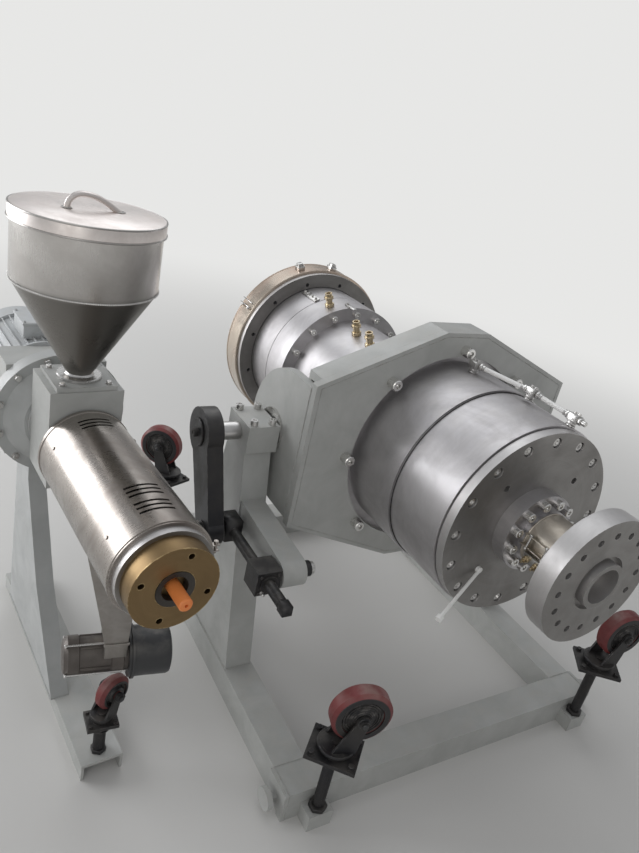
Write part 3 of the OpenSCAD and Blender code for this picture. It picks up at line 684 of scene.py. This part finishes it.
# %% Die screws
flange_r = high("front_flange").x - die_x
for name, head_r, head_h, count, radius, y, degrees, metal, slot in (
    ("front_flange", 12, 10, 16, flange_r - 27, face_y + 14, 0, zinc, "nickel"),
    ("adaptor", 12.2, 19, 12, 91, face_y - 40, 15, bright_zinc, "nickel"),
    ("yoke", 15.5, 30, 8, 313, low("yoke_plate").y, 0, bright_zinc, "nickel"),
    ("rear_ring", 11.5, 15, 16, 222, low("rear_rings").y, 0, bright_zinc, "nickel"),
    ("rear_flange", 6.6, 8, 12, 261, low("rear_flange").y + 12, 17, screw_black, "black_steel"),
):
    bm = bmesh.new()
    screw_ring(bm, head_r, head_h, count, radius, y, degrees)
    piece(name + "_screws", bm, metal, "head")

# %% Painted shadow lines at the seams between the bodies
# Thin black rings in the steps between the bodies stand for the shadow in the joints: painted shade.
bm = bmesh.new()
for node_name, seam_r in (("rear_body", 267.6), ("rear_flange", 247.0)):
    lip = [(seam_r - 4, -0.9), (seam_r, -0.8), (seam_r, 0.2), (seam_r - 4, 0.3)]
    turn(bm, lip, facing((die_x, low(node_name).y, die_z), (0, 1, 0)), 120, ring=True)
piece("seam_shadow_lines", bm, black_steel, "head")

# %% [markdown]
# ## Heater band
# The heater is a sheet band pulled tight round the metal. Where the ends meet, folded ears take a
# clamp screw.

# %% Heater band of the die
bm = bmesh.new()
band_r = high("heater_band").x - die_x
band_front, band_back = low("heater_band").y, high("heater_band").y
for edge_y in (band_front, band_back - 6):
    lip = [(band_r, 0), (band_r + 1.6, 1), (band_r + 1.6, 5), (band_r, 6)]
    turn(bm, lip, facing((die_x, edge_y, die_z), (0, 1, 0)), 96, ring=True)
piece("band_rims", bm, band_sheet, "head")

bm = bmesh.new()
for angle in (math.radians(150), math.radians(-25)):
    out = Vector((math.cos(angle), 0, math.sin(angle)))
    along = Vector((-math.sin(angle), 0, math.cos(angle)))
    middle = Vector((die_x, (band_front + band_back) / 2, die_z)) + out * (band_r + 7)
    for side in (-1, 1):
        ear = shifted(*(middle + along * side * 9)) @ Matrix.Rotation(-angle, 4, "Y")
        block(bm, (16, band_back - band_front - 14, 3), ear, 0.8)
    for y in (-22, 22):
        screw(bm, 5, 7, facing(middle + Vector((0, y, 0)) + along * 10.5, along))
piece("band_clamps", bm, zinc, "head")

# %% [markdown]
# ## Yoke and bearings
# Each bearing cap is held by four cap screws. The yoke is welded from plate, so its seams carry beads
# along the cheeks and round the rim of the front plate.

# %% Bearing bolts
bm = bmesh.new()
for block_node in ("left_pillow_block", "right_pillow_block"):
    middle, top = centre(block_node), high(block_node).z
    for x in (-27, 27):
        for y in (-50, 50):
            screw(bm, 11, 16, shifted(middle.x + x, middle.y + y, top))
piece("bearing_bolts", bm, zinc, "stand")

# %% Yoke welds
bm = bmesh.new()
plate_low, plate_high = low("yoke_plate"), high("yoke_plate")
for x in (low("left_cheek").x, high("right_cheek").x):
    weld(bm, (x, plate_high.y, low("left_cheek").z), (x, plate_high.y, high("left_cheek").z))
half_w = (plate_high.x - plate_low.x) / 2
half_h = (plate_high.z - plate_low.z) / 2
side_h, top_w = 210, 75
octagon = [
    (half_w, side_h), (top_w, half_h), (-top_w, half_h), (-half_w, side_h),
    (-half_w, -side_h), (-top_w, -half_h), (top_w, -half_h), (half_w, -side_h),
]
inset = 1 - 14 / half_w
corners = [(die_x + x * inset, plate_low.y, die_z + z * inset) for x, z in octagon]
for start, end in zip(corners, corners[1:] + corners[:1]):
    weld(bm, start, end, 1.5)
piece("yoke_welds", bm, grey_enamel, "head")

# %% [markdown]
# ## Trolley
# The trolley is square tube, welded at every joint. The front and rear beams end in plates with a small
# arch at the floor. The jacks have threaded rods, with a nut at the block and a washer under the plate.

# %% Trolley welds
bm = bmesh.new()
for side_beam in ("left_beam", "right_beam"):
    a, b = low(side_beam), high(side_beam)
    for y in (a.y, b.y):
        weld(bm, (a.x, y, b.z), (b.x, y, b.z))
        for x in (a.x, b.x):
            weld(bm, (x, y, 4), (x, y, b.z))
for post in ("left_post", "right_post"):
    a, b = low(post), high(post)
    for x in (a.x, b.x):
        weld(bm, (x, a.y, a.z), (x, b.y, a.z))
    for y in (a.y, b.y):
        weld(bm, (a.x, y, a.z), (b.x, y, a.z))
for end_beam in ("front_beam", "rear_beam"):
    a, b = low(end_beam), high(end_beam)
    for x in (a.x, b.x):
        weld(bm, (x, a.y, b.z), (x, b.y, b.z), 2)
        weld(bm, (x, a.y, 2), (x, a.y, b.z), 2)
a, b = low("tilt_bracket"), high("tilt_bracket")
weld(bm, (a.x, b.y - 12, b.z - 4), (b.x, b.y - 12, b.z - 4))
piece("trolley_welds", bm, grey_enamel, "stand")

# %% End arches
bm = bmesh.new()
arch_t, arch_r, arch_leg = 5, 21, 24
for end_beam in ("front_beam", "rear_beam"):
    a, b = low(end_beam), high(end_beam)
    middle = (a.y + b.y) / 2
    corners = [(a.y + arch_leg, 0), (a.y, 0), (a.y, b.z), (b.y, b.z), (b.y, 0), (b.y - arch_leg, 0)]
    angles = [math.pi * i / 12 for i in range(13)]
    arch = [(middle + arch_r * math.cos(angle), arch_r * math.sin(angle)) for angle in angles]
    for x in (a.x - 6 - arch_t, b.x + 6):
        drawn_out(bm, [Vector((x, y, z)) * MM for y, z in corners + arch], (arch_t * MM, 0, 0))
piece("end_arches", bm, grey_enamel, "stand", sharp=30)

# %% Where the casters stand
joints = frame["record"]["behaviour"]["joints"]
spot_of = {row["name"]: Vector(row["pos_m"]) / MM for row in joints if "pos_m" in row}
axis_of = {row["name"]: Vector(row["axis"]) for row in joints}
JACK_FOOT = 50
# Each caster's size against a wheel of 150 mm, and how high its plate stands
CASTERS = {
    "front_left": (1.0, 250), "front_right": (1.0, 250), "rear_left": (1.0, 250), "rear_right": (1.0, 250),
    "unit": (0.6, 150),
}


def caster_body(kind, name):
    return "unit_" + kind if name == "unit" else kind + "_" + name


# %% Jack threads and nuts
pitch = 4
threads, nuts, bolts = bmesh.new(), bmesh.new(), bmesh.new()
for name, (size, plate_z) in CASTERS.items():
    here = spot_of[name + "_swivel"]
    base = shifted(here.x, here.y, 0)
    start = JACK_FOOT + 2
    count = int((plate_z - 17 - start) / pitch)
    side = [(13.5, start)]
    for i in range(count):
        side += [(14.1, start + i * pitch), (15.2, start + (i + 0.5) * pitch)]
    turn(threads, side + [(13.5, start + count * pitch)], base, 20, ring=True)

    hexagon(nuts, 22 * max(size, 0.8), 12, base @ shifted(0, 0, JACK_FOOT))
    disc(nuts, 30 * max(size, 0.8), 3, base @ shifted(0, 0, plate_z - 19.5))
    hoop(nuts, 36 * size, 3.4 * size, base @ shifted(0, 0, plate_z + 18), 40)

    trail = spot_of[name + "_roll"] - here
    plate = shifted(here.x, here.y, plate_z + 10) @ Matrix.Rotation(
        math.atan2(trail.y, trail.x) - math.radians(28), 4, "Z"
    )
    for x in (-50 * size, 50 * size):
        for y in (-39 * size, 39 * size):
            screw(bolts, 7 * size, 7 * size, plate @ shifted(x, y, 0), build_hex_bolt)
piece("jack_threads", threads, black_steel, "stand", sharp=60)
piece("jack_nuts", nuts, black_steel, "stand")
piece("caster_plate_bolts", bolts, black_steel, "stand")

# %% [markdown]
# ## Wheels
# The tyres are dull red. The cores are black discs with raised rings round a boss, and the fork
# carries the axle's nuts and the ball race's cover.

# %% Hubs and axle ends
for name, (size, plate_z) in CASTERS.items():
    wheel_r = 75 * size
    half = 23 if size == 1 else 16
    web = half - 5
    axle = facing(spot_of[name + "_roll"], axis_of[name + "_roll"])
    sides = (axle, axle @ Matrix.Rotation(math.pi, 4, "X"))
    rings = [(12, web + 6), (12, half + 3.3), (20.4, half + 3.3), (23.6, web + 1)]
    for k in range(4):
        inner, wide = (26 + k * 6.2, 3.2) if size == 1 else (25 + k * 1.4, 0.7)
        top = web + 2.6
        rings += [(inner, web), (inner + wide * 0.3, top), (inner + wide, top), (inner + wide * 1.3, web)]
    rings += [(wheel_r * 0.685, web + 1), (wheel_r * 0.685, web - 3)]
    core = [
        (wheel_r * 0.70, half - 3), (wheel_r * 0.70, half + 0.8), (wheel_r * 0.80, half + 1.2),
        (wheel_r - 9.5, half + 0.8), (wheel_r - 7.4, half - 1.4),
    ]
    bm = bmesh.new()
    for flip in sides:
        turn(bm, rings, flip, ring=True)
        turn(bm, core, flip, ring=True)
    piece("hub_" + name, bm, black_steel, caster_body("wheel", name))

    bm = bmesh.new()
    for flip in sides:
        disc(bm, 16 * max(size, 0.75), 2, flip @ shifted(0, 0, half + 11))
        disc(bm, 7.2, 5, flip @ shifted(0, 0, half + 18), 1.5)
    piece("axle_ends_" + name, bm, screw_black, caster_body("fork", name))

    bm = bmesh.new()
    here = spot_of[name + "_swivel"]
    flat = 1 if size == 1 else 0.9
    lip = [(39, 0), (46.6, 0), (47.6, 2), (47.6, 6), (46, 8.4), (39, 8.4)]
    lip = [(r * size, h * flat) for r, h in lip]
    turn(bm, lip, shifted(here.x, here.y, plate_z + 22.6), ring=True)
    piece("race_cover_" + name, bm, black_steel, caster_body("fork", name))

# %% [markdown]
# ## Tilt gear
# A threaded spindle runs in a nut block that swings on the bracket, and its other end holds the
# lever on the trunnion. The thread is cut into the bar and never rises above its plain radius, so that
# it stays clear of the nut's bore. Nuts, a grease nipple and a bright collar finish the pins.

# %% Tilt gear details
nut_low, nut_high = low("tilt_nut"), high("tilt_nut")
spindle_low, spindle_high = low("tilt_spindle"), high("tilt_spindle")
screw_x, screw_z = centre("tilt_spindle").x, centre("tilt_spindle").z
screw_r, core_r = 15, 13.8
bm = bmesh.new()
bm.from_mesh(nodes["tilt_spindle"].data)
bm.transform(nodes["tilt_spindle"].matrix_world)
for vert in bm.verts:
    out = Vector((vert.co.x - screw_x * MM, 0, vert.co.z - screw_z * MM))
    if abs(out.length / MM - screw_r) < 0.2:
        vert.co -= out * (1 - core_r * MM / out.length)
count = round((spindle_high.y - spindle_low.y - 94) / pitch)
side = [(core_r - 1, 0)]
for i in range(count):
    side += [(core_r, i * pitch), (screw_r, (i + 0.35) * pitch), (screw_r, (i + 0.5) * pitch)]
side += [(core_r, count * pitch), (core_r - 1, count * pitch)]
turn(bm, side, shifted(screw_x, spindle_low.y + 32, screw_z) @ towards("+Y"), 24, ring=True)
spindle_screw = piece("spindle_thread", bm, black_steel, "tilt_spindle", sharp=60)
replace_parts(spindle_screw, "tilt_spindle")

bm = bmesh.new()
front = shifted(screw_x, nut_low.y, screw_z) @ towards("-Y")
turn(bm, [(15.5, -1), (24, -1), (24, 5), (15.5, 5)], front, 32, ring=True)
for angle in (math.radians(degrees) for degrees in (45, 135, 225, 315)):
    screw(bm, 4, 4, front @ shifted(34 * math.cos(angle), 34 * math.sin(angle), 0))
piece("nut_cover", bm, black_steel, "tilt_nut")

bm = bmesh.new()
nipple = shifted(nut_low.x + 16, nut_low.y, screw_z - 22) @ towards("-Y")
hexagon(bm, 5, 5, nipple)
turn(bm, [(0, 5), (3, 5), (3, 10), (4.2, 12), (4.2, 14), (2, 17), (0, 17)], nipple, 20)
disc(bm, 17, 12, shifted(nut_high.x, centre("tilt_nut").y, screw_z) @ towards("+X"), 2)
piece("nut_fittings", bm, zinc, "tilt_nut")

bm = bmesh.new()
lever_side = low("tilt_lever").x
pin = shifted(lever_side, spindle_high.y - 30, screw_z) @ towards("-X")
disc(bm, 24, 3, pin)
hexagon(bm, 17, 13, pin @ shifted(0, 0, 3))
trunnion = shifted(lever_side, centre("left_pillow_block").y, die_z) @ towards("-X")
disc(bm, 38, 5, trunnion, 2)
screw(bm, 12, 12, trunnion @ shifted(0, 0, 5))
piece("lever_nuts", bm, black_steel, "head")

# %% [markdown]
# ## Fittings of the die head
# Sensors and thermocouples screw into the bodies through small glands. On top, three glands share a
# pale sleeve that brings their leads to the front. Brass ones stand near the rear.

# %% Top glands and sleeve
bm = bmesh.new()
gland_tops = []
for radius, degrees, length in ((271, 90, 335), (271, 79, 170), (265, 73, 42)):
    base = on_die(radius, degrees, length)
    disc(bm, 13, 5, base, 1.5)
    hexagon(bm, 11, 8, base @ shifted(0, 0, 5))
    block(bm, (26, 30, 22), base @ shifted(0, 0, 23), 2.5)
    for y in (6, -8):
        screw(bm, 4.5, 5, base @ shifted(0, y, 34))
    gland_tops.append(base @ shifted(0, 0, 23))
sleeves = bmesh.new()
for here, there in zip(gland_tops, gland_tops[1:]):
    start, end = here.translation / MM, there.translation / MM
    direction = (end - start).normalized()
    for origin, way in ((start, direction), (end, -direction)):
        nut = facing(origin + way * 15, way)
        hexagon(bm, 9, 9, nut)
        disc(bm, 8, 8, nut @ shifted(0, 0, 9))
    disc(sleeves, 6.4, (end - start).length - 46, facing(start + direction * 23, direction), 0.6, 24)
tip = gland_tops[-1] @ towards("-Y")
hexagon(bm, 9, 10, tip @ shifted(0, 0, 15))
disc(bm, 6.5, 12, tip @ shifted(0, 0, 25))
glands = piece("top_glands", bm, zinc, "head")
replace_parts(glands, "top_fittings")
piece("lead_sleeves", sleeves, white_sleeve, "head")

# %% Brass fittings behind the yoke
bm = bmesh.new()
for radius, degrees, length in ((245, 109, 983), (200, 107, 823), (200, 109, 730)):
    base = on_die(radius, degrees, length)
    hexagon(bm, 14, 12, base)
    disc(bm, 11, 16, base @ shifted(0, 0, 11))
    hexagon(bm, 14, 11, base @ shifted(0, 0, 26))
    turn(bm, [(0, 0), (12, 0), (12, 11), (8, 11), (8, 2), (0, 2)], base @ shifted(0, 0, 37), 24)
piece("brass_fittings", bm, band_brass, "head")

bm = bmesh.new()
clip = on_die(245, 112, 1095)
block(bm, (22, 96, 5), clip @ shifted(0, 0, 3), 1.2)
for y in (-38, -12, 14, 38):
    screw(bm, 5, 6, clip @ shifted(0, y, 5.5))
bar = on_die(245, 96, 950)
block(bm, (14, 60, 6), bar @ shifted(0, -12, 3), 1)
screw(bm, 4.5, 5, bar @ shifted(0, 8, 6))
for degrees, length in ((106, 1222), (82, 1216)):
    terminal = on_die(300, degrees, length)
    block(bm, (26, 30, 14), terminal @ shifted(0, 0, 7), 1.5)
    block(bm, (18, 20, 10), terminal @ shifted(0, 0, 18), 1.2)
    for x in (-7, 7):
        screw(bm, 3.5, 4, terminal @ shifted(x, -11, 14))
piece("rear_clips", bm, zinc, "head")

# %% Neck heater
neck_r = (high("neck_heater").x - low("neck_heater").x) / 2
neck_l = high("neck_heater").y - low("neck_heater").y
neck_y = centre("neck_heater").y - face_y
bm = bmesh.new()
for side in (-1, 1):
    rim = shifted(die_x, face_y + neck_y + side * (neck_l / 2 - 3), die_z) @ towards("+Y")
    hoop(bm, neck_r - 0.4, 1.6, rim, 64, 6)
for degrees in (158, 176):
    block(bm, (3, neck_l - 12, 20), on_die(neck_r, degrees, neck_y) @ shifted(0, 0, 8), 0.8)
piece("neck_band", bm, neck_sheet, "head")

bm = bmesh.new()
for y in (-26, 26):
    clamp = on_die(neck_r + 12, 167, neck_y + y) @ towards("-X")
    disc(bm, 3.4, 34, clamp @ shifted(0, 0, -17), 0.5, 16)
    hexagon(bm, 6, 6, clamp @ shifted(0, 0, -19))
    screw(bm, 5.5, 7, clamp @ shifted(0, 0, 13))
block(bm, (30, 58, 12), on_die(neck_r, 196, neck_y) @ shifted(0, 0, 5), 1.5)
piece("neck_clamps", bm, zinc, "head")

bm = bmesh.new()
for y in (-16, 16):
    stud = on_die(neck_r + 11, 196, neck_y + y)
    disc(bm, 9, 6, stud, 1, 24)
    hexagon(bm, 6.5, 6, stud @ shifted(0, 0, 6))
    disc(bm, 3.5, 8, stud @ shifted(0, 0, 12), 0.6, 16)
piece("neck_studs", bm, band_brass, "head")

# %% Outlet details
bm = bmesh.new()
screw_ring(bm, 8, 8, 16, 246, high("die_bushing").y - 1, toward=1)
screw_ring(bm, 8, 8, 8, 120, high("mandrel").y - 1, toward=1)
piece("outlet_screws", bm, screw_black, "head")

bm = bmesh.new()
mandrel_back = shifted(die_x, high("mandrel").y, die_z) @ towards("+Y")
disc(bm, 62, 5, mandrel_back, 2, 64)
disc(bm, 20, 9, mandrel_back, 2, 40)
piece("mandrel_cap", bm, dark_turned_steel, "head")

# %% [markdown]
# ## Hopper
# The hopper is rolled from stainless sheet: a straight bin over a long cone that narrows right down to
# the throat's flange. The cap has a rolled rim and an arched bar as its handle, a bead of weld joins
# bin and cone, and four bolts hold the flange. Bin and cap are each one turned wall with a real
# thickness, so the rim shows it.

# %% Hopper bin and cap
HOPPER_Y, BIN_HEIGHT = 616, 152
throat_top = high("throat_block").z
bin_top = high("hopper").z
bin_r = (high("hopper").x - low("hopper").x) / 2
cone_top = bin_top - BIN_HEIGHT
cone_h = cone_top - throat_top
# The cone of this wall is darkened by the painted shade in its finish.
bm = bmesh.new()
wall = [
    (29, 10), (bin_r - 1, cone_h - 1), (bin_r, cone_h + 1), (bin_r, cone_h + BIN_HEIGHT),
    (bin_r - 2, cone_h + BIN_HEIGHT), (bin_r - 2, cone_h + 1), (27, 11), (27, 1), (29, 1),
]
turn(bm, wall, on_unit(0, HOPPER_Y, throat_top), 128, ring=True)
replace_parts(piece("hopper_bin", bm, stainless, "stand"), "hopper")

bm = bmesh.new()
cap_r = bin_r + 5
cap_place = on_unit(0, HOPPER_Y, bin_top)
cap = [
    (0, 0), (bin_r + 0.4, 0), (bin_r + 0.4, -24), (cap_r, -24), (cap_r, 3), (cap_r - 1, 5), (cap_r - 3, 6),
    (0, 6),
]
turn(bm, cap, cap_place, 128)
arch = [(-50, 0, 4), (-45, 0, 22), (-30, 0, 35), (-4, 0, 37), (26, 0, 28), (50, 0, 14), (66, 0, 4)]
swept(bm, arch, 6.5, cap_place, 16)
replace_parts(piece("hopper_cap", bm, lid_sheet, "stand"), "hopper_lid")
print("hopper: bin", BIN_HEIGHT, "mm over a cone of", round(cone_h), "mm")

# %% Hopper details
bm = bmesh.new()
hoop(bm, cap_r, 2.4, cap_place @ shifted(0, 0, -23), 96)
hoop(bm, cap_r - 1.5, 2.6, cap_place @ shifted(0, 0, 4), 96)
for x in (-50, 66):
    disc(bm, 12, 2.5, cap_place @ shifted(x, 0, 6), 1)
piece("lid_trim", bm, stainless, "stand")

bm = bmesh.new()
count = 220
for i in range(count):
    turned = Matrix.Rotation(math.tau * i / count, 4, "Z")
    flattened = turned @ shifted(bin_r + 0.3, 0, 0) @ Matrix.Diagonal((0.8, 1.1, 1, 1))
    drop(bm, 2.6, on_unit(0, HOPPER_Y, cone_top) @ flattened)
piece("cone_weld", bm, zinc, "stand")

bm = bmesh.new()
throat = on_unit(0, HOPPER_Y, throat_top)
for x in (-54, 54):
    for y in (-54, 54):
        screw(bm, 6, 6, throat @ shifted(x, y, 0), build_hex_bolt)
turn(bm, [(29.2, 0.4), (52, 0.4), (52, 6), (50, 7.5), (34, 7.5), (31, 10), (29.2, 14)], throat, 64, ring=True)
piece("neck_bolts", bm, zinc, "stand")

# %% [markdown]
# ## Barrel cover and nose
# The cover is a rolled sheet with cooling slots, closed by a strap round its front. The nose flange
# is bronze-coloured, its brown partly painted shade on the face, and it has a dark bush in its bore
# and an orange plug that keeps dirt out.


# %% Cover straps
COVER_R = 107


def on_cover(degrees, y):
    """A frame on the barrel's cover, not turned to it."""
    angle = math.radians(degrees)
    return on_unit(COVER_R * math.cos(angle), y, nose.z + COVER_R * math.sin(angle))


bm = bmesh.new()
for y, wide in ((64, 12), (526, 10)):
    ring = on_unit(0, y, nose.z) @ towards("+Y")
    lip = [(0, 0), (1.8, 0.6), (1.8, wide - 0.6), (0, wide), (-1, wide / 2)]
    turn(bm, [(COVER_R + r, h) for r, h in lip], ring, 96, ring=True)
strap = on_cover(12, 70)
for z in (-7, 7):
    block(bm, (16, 12, 3), strap @ shifted(8, 0, z), 0.8)
disc(bm, 3, 30, strap @ shifted(9, 0, -15), 0.5, 16)
screw(bm, 5, 6, strap @ shifted(9, 0, 8.5))
for y in (120, 470):
    for degrees in (150, 30):
        outwards = Matrix.Rotation(math.pi / 2 - math.radians(degrees), 4, "Y")
        disc(bm, 4, 2.2, on_cover(degrees, y) @ outwards, 0.8, 16)
piece("cover_straps", bm, cover_sheet, "stand")

# %% Nose bush and plug
nose_front = on_unit(0, 0, nose.z) @ towards("+Y")
bm = bmesh.new()
turn(bm, [(27, 1), (39.6, -1.5), (39.6, 18), (36, 19.4), (27, 19.4)], nose_front, 64, ring=True)
piece("nose_bush", bm, dark_bore, "stand")

bm = bmesh.new()
turn(bm, [(0, -44), (3, -44), (3.6, -50), (11.5, -50), (14, -47), (14, 19.5), (0, 19.5)], nose_front, 40)
nose_plug = piece("nose_plug", bm, orange_plastic, "stand")
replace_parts(nose_plug, "screw_tip")

# %% [markdown]
# ## Cooling fan
# A small motor with tie rods drives a black fan drum, and a sheet duct leads the air up to the cover.
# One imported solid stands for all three, so three pieces replace it.

# %% Fan
FAN_DROP = 417
fan = on_unit(48, 280, nose.z - FAN_DROP) @ Matrix.Rotation(math.radians(-14), 4, "Z")
fan_axis = fan @ towards("+X")
bm = bmesh.new()
body = [
    (0, -148), (30, -148), (40, -145), (45, -138), (47.6, -136), (47.6, -112), (44.5, -110), (44.5, -40),
    (47.6, -38), (47.6, -12), (42, -10), (42, 0), (0, 0),
]
turn(bm, body, fan_axis, 64)
for degrees in range(30, 390, 60):
    rib = fan_axis @ Matrix.Rotation(math.radians(degrees), 4, "Z") @ shifted(45.4, 0, -75)
    block(bm, (4, 3, 68), rib, 0.8)
piece("fan_motor", bm, brown_casting, "stand")

bm = bmesh.new()
for degrees in range(20, 380, 90):
    rod = fan_axis @ Matrix.Rotation(math.radians(degrees), 4, "Z") @ shifted(48.6, 0, -140)
    disc(bm, 2.6, 134, rod, 0.4, 12)
    hexagon(bm, 4.5, 5, rod @ shifted(0, 0, -4))
piece("fan_rods", bm, zinc, "stand")

bm = bmesh.new()
drum = [
    (0, 0), (60, 0), (60, 6), (65, 6.6), (65, 12.4), (60, 13), (59.6, 40), (60, 90), (57, 97), (50, 100),
    (22, 100), (20, 96), (0, 96),
]
turn(bm, drum, fan_axis, 72)
for radius in (28, 36, 44):
    hoop(bm, radius, 1.6, fan_axis @ shifted(0, 0, 100), 48, 6)
fan_drum = piece("fan_drum", bm, fan_paint, "stand")
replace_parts(fan_drum, "blower")

bm = bmesh.new()
duct_top = FAN_DROP - 78
outline = [(-58, 20), (-6, 20), (-6, 62), (6, duct_top), (-118, duct_top), (-58, 62)]
duct_front = [fan @ (Vector((x, -42, z)) * MM) for x, z in outline]
drawn_out(bm, duct_front, fan.to_3x3() @ Vector((0, 84 * MM, 0)))
soften(bm, bm.edges[:], 2)
for y in (-43, 43):
    block(bm, (58, 3, 7), fan @ shifted(-32, y, 62), 0.8)
piece("fan_duct", bm, duct_sheet, "stand")

# %% [markdown]
# ## Gearbox and motor
# The bell housing and the gearbox are bolted up, and two oil plugs stand in the gearbox's side. The
# motor has a terminal box on top and a wire guard over its own fan at the back.

# %% Bell and motor details
BELL_FRONT, GEAR_FRONT, GEAR_L, MOTOR_L = 735, 780, 120, 290
bell_face = on_unit(0, BELL_FRONT, nose.z) @ towards("-Y")
bm = bmesh.new()
for i in range(12):
    bolt = bell_face @ Matrix.Rotation(math.tau * (i + 0.5) / 12, 4, "Z") @ shifted(153, 0, 0)
    screw(bm, 7, 8, bolt, build_hex_bolt)
for x in (-108, 108):
    for z in (-108, 108):
        screw(bm, 7, 8, on_unit(x, GEAR_FRONT + GEAR_L, nose.z + z) @ towards("+Y"), build_hex_bolt)
for z in (-60, 60):
    plug = on_unit(125, GEAR_FRONT + GEAR_L / 2, nose.z + z) @ towards("+X")
    disc(bm, 16, 5, plug)
    hexagon(bm, 11, 9, plug @ shifted(0, 0, 5))
piece("bell_bolts", bm, zinc, "stand")

bm = bmesh.new()
motor_back = GEAR_FRONT + GEAR_L + MOTOR_L
grille = on_unit(0, motor_back, nose.z) @ towards("+Y")
for radius in range(30, 126, 14):
    hoop(bm, radius, 2.2, grille @ shifted(0, 0, 0.6), 64, 6)
for degrees in range(0, 180, 45):
    block(bm, (250, 5, 3), grille @ Matrix.Rotation(math.radians(degrees), 4, "Z"), 0.8)
disc(bm, 24, 4, grille, 1)
piece("motor_grille", bm, black_steel, "stand")

bm = bmesh.new()
box_place = on_unit(0, motor_back - 190, nose.z + 145)
block(bm, (92, 104, 44), box_place, 4)
block(bm, (98, 110, 8), box_place @ shifted(0, 0, 22), 2.5)
for x in (-42, 42):
    for y in (-48, 48):
        screw(bm, 3.5, 3.5, box_place @ shifted(x, y, 26))
gland = box_place @ shifted(46, 20, -4) @ towards("+X")
hexagon(bm, 12, 8, gland)
disc(bm, 10, 14, gland @ shifted(0, 0, 8), 2)
piece("motor_box", bm, motor_paint, "stand")

# %% Unit welds
bm = bmesh.new()
for start, end in (((-62, 478), (-62, 938)), ((-16, 478), (-16, 938)), ((-62, 476), (-16, 476))):
    weld(bm, on_unit(*start, 50).translation / MM, on_unit(*end, 50).translation / MM)
piece("unit_welds", bm, shaded_pale_enamel, "stand")
